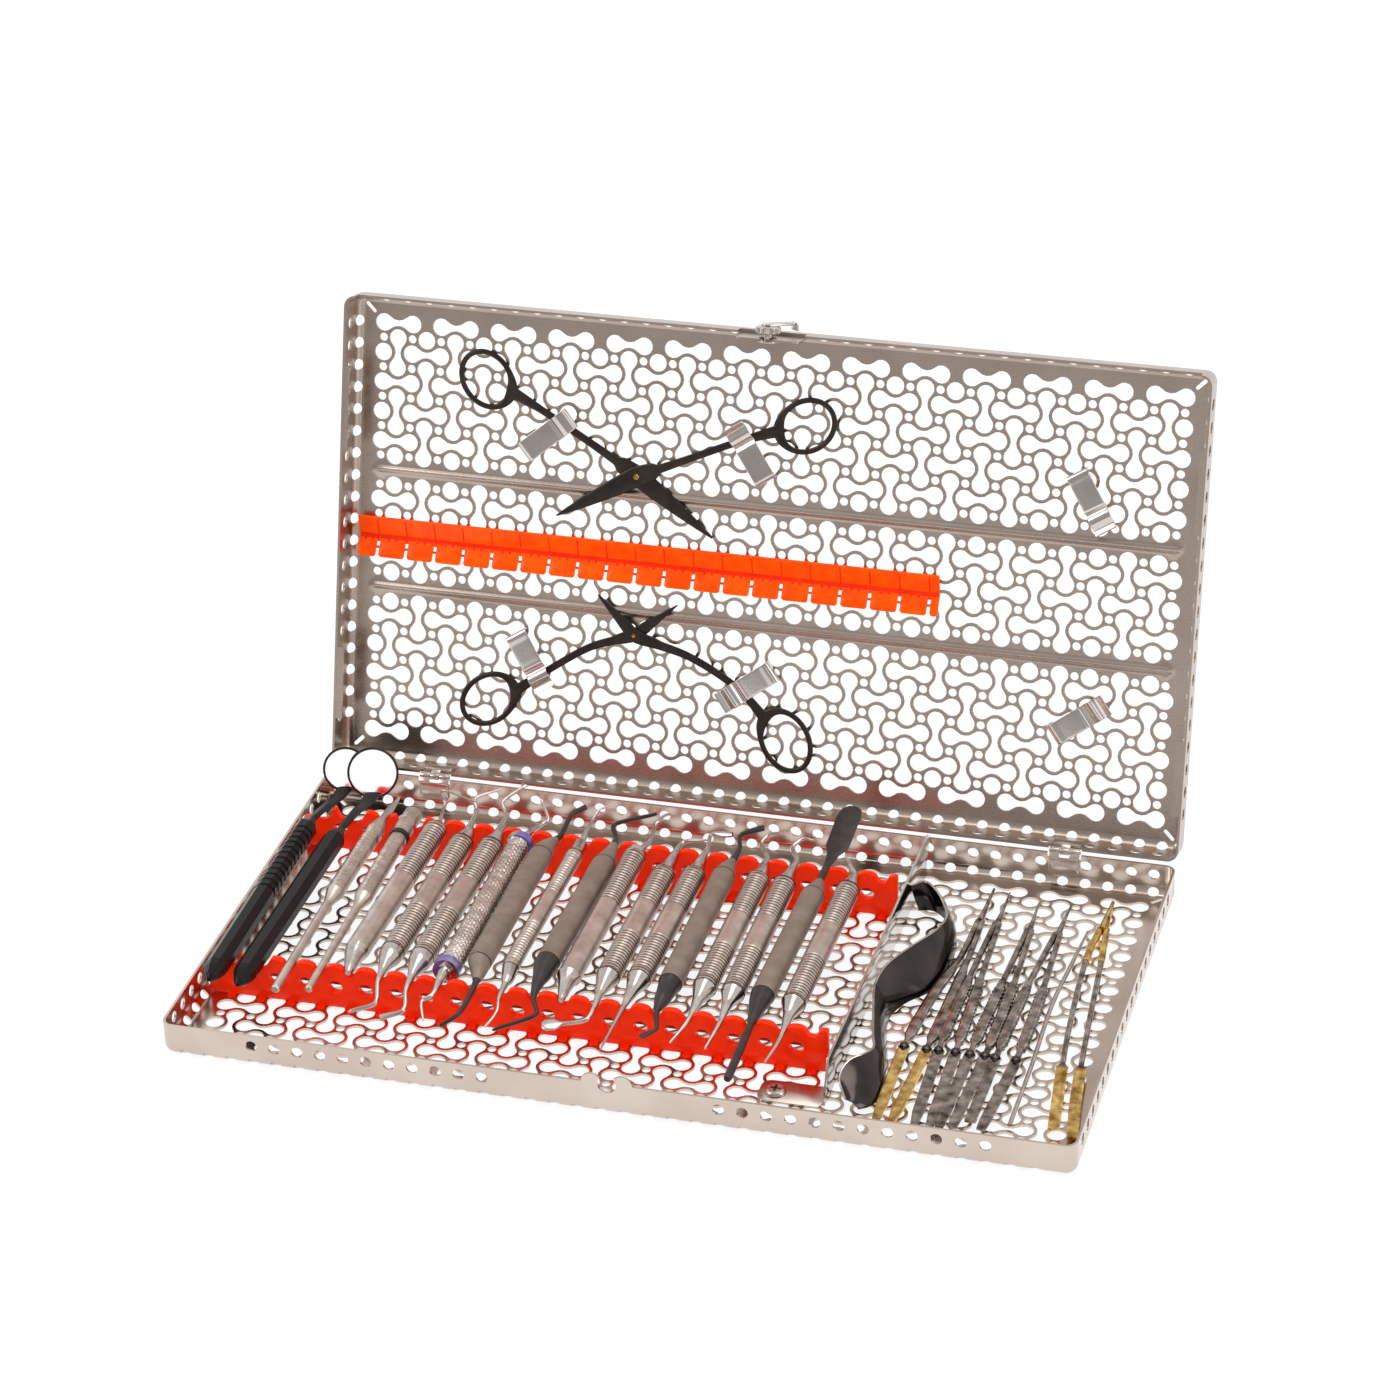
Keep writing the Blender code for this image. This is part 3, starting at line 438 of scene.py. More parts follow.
def trayBody(outside, way, rimHeight, rowY, ribs, walls, cutLevels=()):
    # outside: level of the sheet's outer face; way: the side the walls rise to
    # walls: side name -> (holes as (along, out), top edge as (along, height))
    bend, corner, sheet = tray["bend"], tray["corner"], tray["sheet"]
    hx, hy = tray["halfLength"] - corner, tray["halfWidth"] - corner
    levels = [bendLength * k / 6 for k in range(7)]

    def profile(v, depth):
        turn = min(max(v / bendLength, 0.0), 1.0) * math.pi / 2
        out = (bend - depth) * math.sin(turn)
        return out, bend - (bend - depth) * math.cos(turn) + max(v - bendLength, 0.0)

    def ribLift(u, v):
        lift = 0.0
        for row in ribs:
            away = abs(v - lidRow(row))
            inside = min(max((column(tray["ribEnd"]) - abs(u)) / tray["ribFade"], 0.0), 1.0)
            if away < tray["ribHalf"]:
                lift = tray["ribLift"] * math.cos(away / tray["ribHalf"] * math.pi / 2) ** 1.3 * inside
        return lift

    def flat(u, v, depth):
        return (u, v, outside + way * (depth + ribLift(u, v)))

    def wall(side):
        def place(u, v, depth):
            out, height = profile(v, depth)
            z = outside + way * height
            if side in ("front", "back"):
                y = tray["halfWidth"] - bend + out
                return (u, -y if side == "front" else y, z)
            x = tray["halfLength"] - bend + out
            return (-x if side == "left" else x, u, z)
        return place

    def cornerPlace(sx, sy):
        def place(u, v, depth):
            out, height = profile(v, depth)
            r = corner - bend + out
            return (sx * (hx + r * math.cos(u)), sy * (hy + r * math.sin(u)), outside + way * height)
        return place

    patches = []
    ring = []
    for sx, sy, start in ((1, 1, 0), (-1, 1, 90), (-1, -1, 180), (1, -1, 270)):
        ring += arc(sx * hx, sy * hy, corner - bend, start, start + 90, 6)
    holes = [[(column(x), rowY(y)) for x, y in loop] for loop in latticeHoles(ribs)]
    for sx in (1, -1):       # relief slots that run out of the corners
        for sy in (1, -1):
            slot = (arc(0, 0, tray["slotRadius"], 90, 270, 6)
                    + arc(tray["slotLength"], 0, tray["slotRadius"], -90, 90, 6))
            holes.append([(sx * (hx - 0.2 - (a + b) * 0.707), sy * (hy - 0.2 - (a - b) * 0.707))
                          for a, b in slot])
    lines = []
    for row in ribs:
        for k in range(-3, 4):
            y = lidRow(row) + tray["ribHalf"] * k / 3
            ends = column(tray["ribEnd"])
            lines.append([(x, y) for x in (-ends, -ends + tray["ribFade"], ends - tray["ribFade"], ends)])
    patches.append((*netOf(ring, holes, lines), flat))
    for side, (wallHoles, top) in walls.items():
        end = hx if side in ("front", "back") else hy
        topEdge = [(u, bendLength + h - bend) for u, h in top]
        last = topEdge[0][1]
        endLine = [(end, v) for v in levels] + [(end, v) for v in cutLevels if bendLength < v < last - 0.01]
        outline = endLine + topEdge + [(-u, v) for u, v in endLine[::-1]]
        lines = [[(end, v), (-end, v)] for v in levels[1:]]
        rounds = [circle(u, v, tray["wallHole"], 14) for u, v in wallHoles]
        patches.append((*netOf(outline, rounds, lines), wall(side)))
    steps = 6
    rows = levels + sorted(cutLevels) + [bendLength + rimHeight - bend]
    for sx in (1, -1):
        for sy in (1, -1):
            points = [(math.radians(90 * k / steps), v) for v in rows for k in range(steps + 1)]
            faces = []
            for i in range(len(rows) - 1):
                for k in range(steps):
                    a = i * (steps + 1) + k
                    faces += [(a, a + 1, a + steps + 2), (a, a + steps + 2, a + steps + 1)]
            patches.append((points, faces, cornerPlace(sx, sy)))
    return sheetBody(patches, sheet)


def wallRow(start, count, out, step=1.0):
    return [(start + tray["wallPitch"] * k * step, out) for k in range(count)]


firstBack, midBend = column(0.55), bendLength / 2
sideStart = -88.9
hx, hy = tray["halfLength"] - tray["corner"], tray["halfWidth"] - tray["corner"]
rim = tray["baseRim"]
ears = (arc(6.2, tray["studZ"], 4.3, 2.7, 142.8, 8) + arc(0, tray["studZ"], 3.8, 43.1, -223.1, 18)[1:-1]
        + arc(-6.2, tray["studZ"], 4.3, 37.2, 177.3, 8))
hingeGap = [(tray["hingeX"] + 7, 0), (tray["hingeX"] + 7, -2.5), (tray["hingeX"] - 7, -2.5),
    (tray["hingeX"] - 7, 0)]
mirrorGap = [(-u, h) for u, h in hingeGap[::-1]]
frontHoles = ([(column(-0.5 + 1.5 * k), midBend) for k in range(37)]
              + [(column(4 + 1.5 * k), bendLength + 9.8 - tray["bend"]) for k in range(11)]
              + [(column(34 + 1.5 * k), bendLength + 9.8 - tray["bend"]) for k in range(12)])
backHoles = wallRow(firstBack, 37, midBend) + [
    h for h in wallRow(firstBack, 37, tray["wallRow"] - 0.6) if abs(abs(h[0]) - tray["hingeX"]) > 9.0]
sideHoles = wallRow(sideStart, 19, midBend) + wallRow(sideStart, 19, tray["wallRow"] - 0.6)
plain = lambda end, h: [(end, h), (-end, h)]
baseMesh = trayBody(0.0, 1, rim, baseRow, (), {
    "front": (frontHoles, [(hx, rim)] + ears + [(-hx, rim)]),
    "back": (backHoles, [(hx, rim)] + [(u, rim + h) for u, h in hingeGap + mirrorGap] + [(-hx, rim)]),
    "left": (sideHoles, plain(hy, rim)), "right": (sideHoles, plain(hy, rim))})
addPiece("base_sheet", "base", "tray_steel", ["traySteel"], [baseMesh], ["base_tray"])
print("base tray punched", len(baseMesh[1]))

lidDepth = tray["lidTop"] - tray["lidRim"]
frontDepth = tray["lidTop"] - 19.75
frontLevel = bendLength + frontDepth - tray["bend"]
lidBack = wallRow(firstBack, 37, midBend) + [
    h for h in wallRow(firstBack, 37, tray["wallRow"]) if abs(abs(h[0]) - tray["hingeX"]) > 9.0]
lidSides = wallRow(sideStart, 19, midBend) + wallRow(sideStart, 19, tray["wallRow"])
lidFront = [(column(0.07 + 1.5 * k), midBend) for k in range(37)]
tabGap = [(14.2, frontDepth), (14.2, 7.75), (-14.2, 7.75), (-14.2, frontDepth)]
lidMesh = trayBody(tray["lidTop"], -1, lidDepth, lidRow, (9.95, 17.95), {
    "front": (lidFront, [(hx, frontDepth)] + tabGap + [(-hx, frontDepth)]),
    "back": (lidBack, [(hx, lidDepth)] + [(u, lidDepth + h) for u, h in hingeGap + mirrorGap]
    + [(-hx, lidDepth)]),
    "left": (lidSides, plain(hy, lidDepth)), "right": (lidSides, plain(hy, lidDepth))}, cutLevels=[frontLevel])
tabOutline = ([(14, 25.4), (-14, 25.4)] + arc(-11, 14.4, 3, 180, 270, 6) + arc(11, 14.4, 3, 270, 360, 6))
lidParts = [lidMesh, plate(tabOutline, -100.3, -99.5, "y", [circle(0, tray["studZ"], 3.7, 28)]),
            plate([(-13.9, 23.4), (13.9, 23.4), (13.9, 25.2), (-13.9, 25.2)], -101.4, -99.7, "y")]
for s in (-1, 1):
    for y0, y1, reach in ((-71.8, -35.6, 2.0), (50.2, 82.0, 3.0)):
        inside, outer = s * (tray["halfLength"] - 1 - reach), s * (tray["halfLength"] - 0.3)
        low, high = min(inside, outer), max(inside, outer)
        lidParts.append(plate([(low, y0), (high, y0), (high, y1), (low, y1)], 15.1, 15.9, "z"))
addPiece("lid_sheet", "lid", "tray_steel", ["lidSteel"], lidParts, ["lid_tray"], openPose)
print("lid tray punched", len(lidMesh[1]))

railDims = {"thick": 3.0, "hole": 2.9, "holeZ": 10.5, "top": 20.2, "foot": 1.75, "ends": -179.4,
            "thickAt": {"rail_front": {0: -2.1, 1: -2.2}, "rail_back": {0: -3.0, 1: -1.4, 3: -0.5}}}
for name, thick in railDims["thickAt"].items():
    low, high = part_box(name)[0].y * 1000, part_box(name)[1].y * 1000
    top = []
    for slot in range(20):
        x = column(2 * slot) + thick.get(slot, 0)
        if slot in thick:
            valley = [(-6.2, 18.6), (-5.7, 17.6), (-4.9, 16.2), (-3.6, 14.9), (-2.0, 14.1), (0, 13.8)]
        else:
            valley = [(-3.9, 19.75), (-3.1, 19.3), (-2.5, 18.6), (-2.1, 17.7), (-1.5, 16.8), (-0.8, 16.45),
                (0, 16.4)]
        top += [(x + a, z) for a, z in valley] + [(x - a, z) for a, z in valley[-2::-1]]
        nextX = column(2 * slot + 2) + thick.get(slot + 1, 0)
        a, b = x + (6.2 if slot in thick else 3.9), nextX - (6.2 if slot + 1 in thick else 3.9)
        if slot < 19:
            middle, half = (a + b) / 2, (b - a) / 2
            top += [(middle + half * f, railDims["top"] - 0.3 * abs(f)) for f in (-0.6, -0.2, 0.2, 0.6)]
    end = column(39)
    top += [(end - 1.2, railDims["top"] - 0.1), (end, railDims["top"] - 0.6)]
    top = [p for p in top if p[0] > -178.6]
    outline = [(end, 1.05), (railDims["ends"], 1.05), (-181.2, 3.4), (-181.2, 14.3), (-179.9, 14.5)] + top
    holes = [circle(column(2 * k + 1), railDims["holeZ"], railDims["hole"], 20) for k in range(19)]
    parts = [plate(outline, low, high, "y", holes)]
    # dark plate across the top of each hole, in the darker silicone: painted shade in the hole's upper part
    parts += [(*plate(arc(column(2 * k + 1), railDims["holeZ"], railDims["hole"] - 0.02, 28, 152, 10),
        low + 0.1, low + 0.6,
                      "y"), 1) for k in range(19)]
    footY = 57.15 if low > 0 else -57.15
    for k in range(20):
        x = column(2 * k)
        if x > -179:
            parts.append(turned([(0.95, 0.2), (1.65, 0.2), (1.75, 0.45), (1.75, 1.5), (1.6, 1.65), (0.95, 1.65),
                                 (0.95, 0.2)], (x, footY, 0), "z", 20))
    addPiece(name + "_silicone", "base", "silicone", ["silicone", "paintedShadeSilicone"], parts, [name], bevel=0.35)
print("rails cast")

comb = {"y": 3.2, "spread": 8.4, "rise": 3.6, "thick": 1.3, "start": -179.2, "end": column(38.8)}
foldZ = panelInside - 1.3
tilt = math.atan2(comb["rise"], comb["spread"])
parts = []
reach = math.hypot(comb["rise"], comb["spread"])


def flapPlace(sign):
    # one of the two flaps that rise from the fold
    def place(u, v, depth):
        y = comb["y"] + sign * (v * math.cos(tilt) + depth * math.sin(tilt))
        z = foldZ - v * math.sin(tilt) - (comb["thick"] - depth) * math.cos(tilt) + comb["thick"]
        return (u, y, z)
    return place


upper = [(comb["start"], -0.3), (comb["end"], -0.3), (comb["end"], reach), (comb["start"], reach)]
parts.append(sheetBody([(*netOf(upper, []), flapPlace(-1))], comb["thick"]))
stops = [comb["start"]] + [column(2 * k + 0.15) for k in range(20) if -178 < column(2 * k + 0.15) < comb["end"]
    - 3]
stops.append(comb["end"])
outline = [(comb["end"], -0.3), (comb["start"], -0.3)]
for a, b in zip(stops[:-1], stops[1:]):
    left = a + (0.75 if a > comb["start"] else 0)
    right = b - (0.75 if b < comb["end"] else 0)
    outline += [(left, 2.3), (left, reach - 0.8), (left + 0.8, reach), (right - 0.8, reach),
        (right, reach - 0.8), (right, 2.3)]
dots = [circle((a + b) / 2 + d, 1.5, 0.6, 10) for a, b in zip(stops[:-1], stops[1:]) if b - a > 8
    for d in (-1.6, 1.6)]
parts.append(sheetBody([(*netOf(outline, dots), flapPlace(1))], comb["thick"]))
skin = 0.1
for sign, far in ((-1, reach - 0.6), (1, 2.2)):        # darker silicone strips along the creases between the tabs and along the fold: painted shade
    place = flapPlace(sign)
    for x in stops[1:-1]:
        parts.append((*sweep([(Vector(place(x, v, skin)), [0.35, 0.35]) for v in (0.3, far)], 8), 1))
ends = [Vector(flapPlace(1)(x, 0.2, skin)) for x in (comb["start"] + 0.5, comb["end"] - 0.5)]
parts.append((*sweep([(spot, [2.1, 0.5]) for spot in ends], 12), 1))
# the second finish, the darker silicone, paints the shade of the creases and the fold
addPiece("comb_silicone", "lid", "silicone", ["combSilicone", "silicone"], parts, ["hold_down_comb"], openPose,
    bevel=0.2)
print("comb cut")

hinge = {"halfWide": 6.35, "rounding": 1.2, "inner": 99.75, "outer": 100.5, "knuckle": 1.45, "bore": 0.72,
         "pin": [(0.45, -6.75), (0.6, -6.6), (0.6, 6.6), (0.45, 6.75)],
         # leaf: lowest and highest level, pose, side the knuckle curls to, knuckle spans, level where its arm starts
         "leaves": {"base": (5.0, 12.5, asBuilt, -1, ((-6.3, -2.2), (2.2, 6.3)), 12.3),
                    "lid": (17.1, 27.0, openPose, 1, ((-1.9, 1.9),), 17.3)}}
for side, x in (("left", -tray["hingeX"]), ("right", tray["hingeX"])):
    half, r, axisY, axisZ = hinge["halfWide"], hinge["rounding"], tray["hingeY"], tray["hingeZ"]
    for leaf, (low, high, pose, s, spans, root) in hinge["leaves"].items():
        outline = (arc(x + half - r, low + r, r, 270, 360, 4) + arc(x + half - r, high - r, r, 0, 90, 4)
                   + arc(x - half + r, high - r, r, 90, 180, 4) + arc(x - half + r, low + r, r, 180, 270, 4))
        parts = [plate(outline, hinge["inner"], hinge["outer"], "y")]
        bore = circle(axisY, axisZ, hinge["bore"], 20)
        arm = [(99.8, root), (hinge["outer"], root), (axisY - 0.2, axisZ + s * 1.42),
            (axisY - 1.35, axisZ + s * 0.2),
               (99.8, root - s * 0.9)]
        for a, b in spans:
            parts.append(plate(circle(axisY, axisZ, hinge["knuckle"], 28), x + a, x + b, "x", [bore]))
            parts.append(plate(arm, x + a, x + b, "x"))
        addPiece(f"hinge_{leaf}_{side}", leaf, "hinge_steel", ["hingeSteel"], parts,
            [f"hinge_{leaf}_leaf_{side}"], pose,
                 bevel=0.12)
    addPiece(f"pin_{side}", "base", "hinge_steel", ["hingeSteel"],
        [turned(hinge["pin"], (x, axisY, axisZ), "x", 20)],
             [f"hinge_pin_{side}"])
print("hinges rolled")

lock = {"studRadius": 2.35, "studFlat": 1.9, "crest": 5.25, "groove": 4.95, "teeth": 36, "washer": 4.8,
        "knobTop": [(4.3, -105.4), (4.8, -105.1), (4.85, -104.85), (4.85, -102.7), (4.5, -102.4)],
        "leverEnd": 10.2, "leverRadius": 2.5, "lip": (12.2, 13.2), "leverAngle": -45}
studZ = tray["studZ"]
flatStud = [(max(-lock["studFlat"], min(lock["studFlat"], a)), b)
            for a, b in circle(0, studZ, lock["studRadius"], 32)]
addPiece("stud_turned", "turn_lock", "lock_steel", ["lockSteel"], [plate(flatStud, -102.38, -99.45, "y")],
         ["lock_stud"], openPose, bevel=0.1)
knob = []
for k in range(2 * lock["teeth"]):          # straight knurl round the rim
    r, a = lock["crest"] if k % 2 else lock["groove"], k / lock["teeth"] * math.pi
    knob.append((r * math.cos(a), r * math.sin(a)))
knobParts = [plate([(a, studZ + b) for a, b in knob], -104.9, -102.9, "y"),
             turned(lock["knobTop"], (0, 0, studZ), "y", 40)]
addPiece("knob_knurled", "turn_lock", "lock_steel", ["lockSteel"], knobParts, ["lock_knob"], openPose)
turn = (Matrix.Translation((0, 0, studZ)) @ Matrix.Rotation(math.radians(lock["leverAngle"]), 4, "Y")
        @ Matrix.Translation((0, 0, -studZ)))
leverOutline = (arc(lock["leverEnd"], studZ, lock["leverRadius"], -90, 90, 8)
                + arc(-0.4, studZ, lock["leverRadius"], 90, 270, 8))
inner, outer = lock["lip"]
lip = [(inner, studZ - 2.3), (outer, studZ - 2.3), (outer, studZ + 2.3), (inner, studZ + 2.3)]
leverParts = [plate(leverOutline, -106.3, -105.42, "y"), plate(lip, -106.3, -103.0, "y")]
addPiece("lever_bent", "turn_lock", "lock_steel", ["lockSteel"], leverParts, ["lock_lever"], openPose @ turn,
    bevel=0.2)
addPiece("washer_flat", "turn_lock", "lock_steel", ["lockSteel"],
         [plate(circle(0, studZ, lock["washer"], 36), -99.43, -98.9, "y")], ["lock_washer"], openPose,
         bevel=0.12)
print("lock made")

divider = {
    "sheet": (79.5, 80.5), "edge": [(-78, 1.05), (94, 1.05), (94, 5.5), (98.5, 12), (98.5, 17.3), (98.0, 17.8),
                                    (-69.4, 17.8), (-70.2, 17.2)],
    "footLevels": (1.08, 2.0), "footCorner": 4.2, "screw": (59.9, -74.4), "headRadius": 3.1, "recess": 2.2}
foot = (arc(57.4, -70.8, divider["footCorner"], 90, 180, 6)
    + arc(57.4, -76.4, divider["footCorner"], 180, 270, 6)
        + [(78, -80.6), (80.2, -77), (80.2, -66.6)])
addPiece("divider_sheet", "base", "tray_steel", ["springSteel", "lidSteel"],
         [plate(divider["edge"], *divider["sheet"], "x"), (*plate(foot, *divider["footLevels"], "z"), 1)],
         ["divider_plate"], bevel=0.12)
sx, sy = divider["screw"]
head = []
for c, s in ((1, 0), (0, 1), (-1, 0), (0, -1)):           # arms of the cross recess
    for u, v in ((0.55, -0.55), (divider["recess"], -0.4), (divider["recess"], 0.4)):
        head.append((sx + u * c - v * s, sy + u * s + v * c))
dome = [(4.25, 2.12), (4.3, 2.5), (4.1, 3.1), (3.6, 3.7), (3.1, 4.0), (3.05, 3.2), (0.1, 3.1)]
screwParts = [plate(circle(sx, sy, divider["headRadius"], 32), 3.0, 4.0, "z", [head]),
    turned(dome, (sx, sy, 0), "z", 36),
              (*plate(circle(sx, sy, 2.5, 24), 2.9, 3.2, "z"), 1)]
addPiece("screw_pan_head", "base", "hinge_steel", ["lockSteel", "rubber"], screwParts, ["divider_screw"])
print("divider set")

clipDims = {"wide": 4.75, "thick": 0.7,
            "profile": [(0.4, .35), (0.4, 2.2), (0.45, 3.6), (1.3, 4.3), (5, 4.35), (10, 4.35), (14.5, 4.3),
                        (16.5, 4.2), (18.3, 3.3), (20.0, 4.5), (22.0, 4.95), (24.0, 4.5), (25.2, 4.4),
                        (26.4, 5.2), (27.2, 5.55)],
            "places": {"clip_1": ((10.2, 7.8), (13.45, 5.05)), "clip_2": ((26.9, 8.1), (24.5, 4.6)),
                       "clip_3": ((47.35, 5.4), (49.6, 9.05)), "clip_4": ((10.05, 20.1), (12.35, 23.75)),
                       "clip_5": ((27.95, 20.75), (24.4, 23.4)), "clip_6": ((46.9, 23.0), (50.2, 20.55))}}
for name, (leg, mouth) in clipDims["places"].items():
    x0, y0, x1, y1 = column(leg[0]), lidRow(leg[1]), column(mouth[0]), lidRow(mouth[1])
    size = math.hypot(x1 - x0, y1 - y0)
    dx, dy = (x1 - x0) / size, (y1 - y0) / size
    rows = smoothPath([(x0 + a * dx, y0 + a * dy, panelInside - h) for a, h in clipDims["profile"]], 0.5)
    strip = [(spot, [clipDims["wide"], clipDims["thick"] / 2]) for spot, _ in rows]
    addPiece(name + "_strip", "lid", "spring_steel", ["springSteel"],
             [sweep(strip, 24, 0.18, 0.5, Vector((0, 0, 1)), len(strip) // 2)], [name], openPose)
print("clips sprung")

scissors = {
    # each half: ring centre, ring semi-axes, way the long axis points (degrees), shank from the ring to the pivot, tip
    "straight": {"pivot": (18.0, 8.65), "blade": (0.5, 4.4, 3.9, 3.5), "screw": 1.25, "halves": {
        "a": ((7.35, 3.15), (13.6, 11.2), 50, [(9.35, 3.95), (11.2, 4.85), (14.6, 6.7)], (23.3, 12.3)),
        "b": ((29.35, 4.15), (13.6, 11.2), -35, [(27.2, 4.75), (24.9, 5.6), (21.4, 7.15)], (12.6, 11.8))}},
    "curved": {"pivot": (18.3, 19.4), "blade": (0.6, 2.9, 2.5, 2.0), "screw": 0.9, "halves": {
        "a": ((8.25, 24.95), (14.2, 10.6), -40, [(10.2, 24.1), (12.2, 22.6), (15.2, 20.6)], (21.1, 17.1)),
        "b": ((29.0, 25.45), (14.6, 11.0), 60, [(27.5, 24.1), (25.8, 22.4), (22.3, 20.5)], (15.7, 16.9))}},
    "levels": {"a": 1.15, "b": 2.7}, "halfThick": 0.72, "ringWide": 1.15}
for name in ("straight", "curved"):
    spec = scissors[name]
    px, py = column(spec["pivot"][0]), lidRow(spec["pivot"][1])
    for half, (ringAt, axes, lean, shank, tipAt) in spec["halves"].items():
        level = panelInside - scissors["levels"][half]
        cx, cy = column(ringAt[0]), lidRow(ringAt[1])
        pivotWay = Vector((column(shank[0][0]) - cx, lidRow(shank[0][1]) - cy, 0)).normalized()
        c, s = math.cos(math.radians(lean)), math.sin(math.radians(lean))
        ringRows = []
        for k in range(56):
            a = 2 * math.pi * k / 56
            u, v = axes[0] * 0.92 * math.cos(a), axes[1] * 0.92 * math.sin(a)
            x, y = cx + u * c - v * s, cy + u * s + v * c
            near = max(Vector((x - cx, y - cy, 0)).normalized().dot(pivotWay), 0)
            ringRows.append((Vector((x, y, level)), [scissors["ringWide"] + 1.3 * near ** 8, 0.8]))
        verts, faces = sweep(ringRows + ringRows[:2], 14)
        n = len(ringRows)
        ringFaces = [(i * 14 + k, i * 14 + (k + 1) % 14, (i + 1) % n * 14 + (k + 1) % 14, (i + 1) % n * 14 + k)
                     for i in range(n) for k in range(14)]
        parts = [(verts[:n * 14], ringFaces)]
        tipX, tipY = column(tipAt[0]), lidRow(tipAt[1])
        toTip = lambda f: (px + (tipX - px) * f, py + (tipY - py) * f)
        last = shank[-1]
        path = [(cx + pivotWay.x * axes[0] * 0.9, cy + pivotWay.y * axes[0] * 0.9, 3.4)]
        path += [(column(x), lidRow(y), w) for (x, y), w in zip(shank, (2.5, 1.55, 1.6))]
        path += [(px + (column(last[0]) - px) * 0.45, py + (lidRow(last[1]) - py) * 0.45, 1.9)]
        path += [(px + (column(last[0]) - px) * 0.34, py + (lidRow(last[1]) - py) * 0.34,
            spec["blade"][1] * 0.8)]
        path += [(px, py, spec["blade"][1]), (*toTip(0.25), spec["blade"][2]),
            (*toTip(0.6), spec["blade"][3] * 0.72),
                 (*toTip(0.88), spec["blade"][3] * 0.32), (*toTip(1.0), 0.3)]
        rows = smoothPath([(x, y, level, w, scissors["halfThick"]) for x, y, w in path], 0.9)
        parts.append(sweep(rows, 16, 0.5, 0.5, Vector((0, 0, 1)), len(rows) // 2))
        body = {"a": f"{name}_scissors_moving_half", "b": "lid"}[half]
        addPiece(f"{name}_half_{half}_coated", body, "brown_coating", ["scissorCoat"], parts,
                 [f"{name}_scissors_half_{half}"], openPose)
    z, r = panelInside, spec["screw"]
    screw = [(r * 0.8, z - 0.5), (r * 0.8, z - 3.4), (r, z - 3.42), (r, z - 3.75), (r * 0.85, z - 3.95),
        (0.1, z - 4.0)]
    addPiece(f"{name}_screw_brass", "lid", "brown_coating", ["brass"], [turned(screw, (px, py, 0), "z", 24)],
             [f"{name}_scissors_screw"], openPose)
print("scissors ground")

h = 19.0                     # axis of the handles on the rails
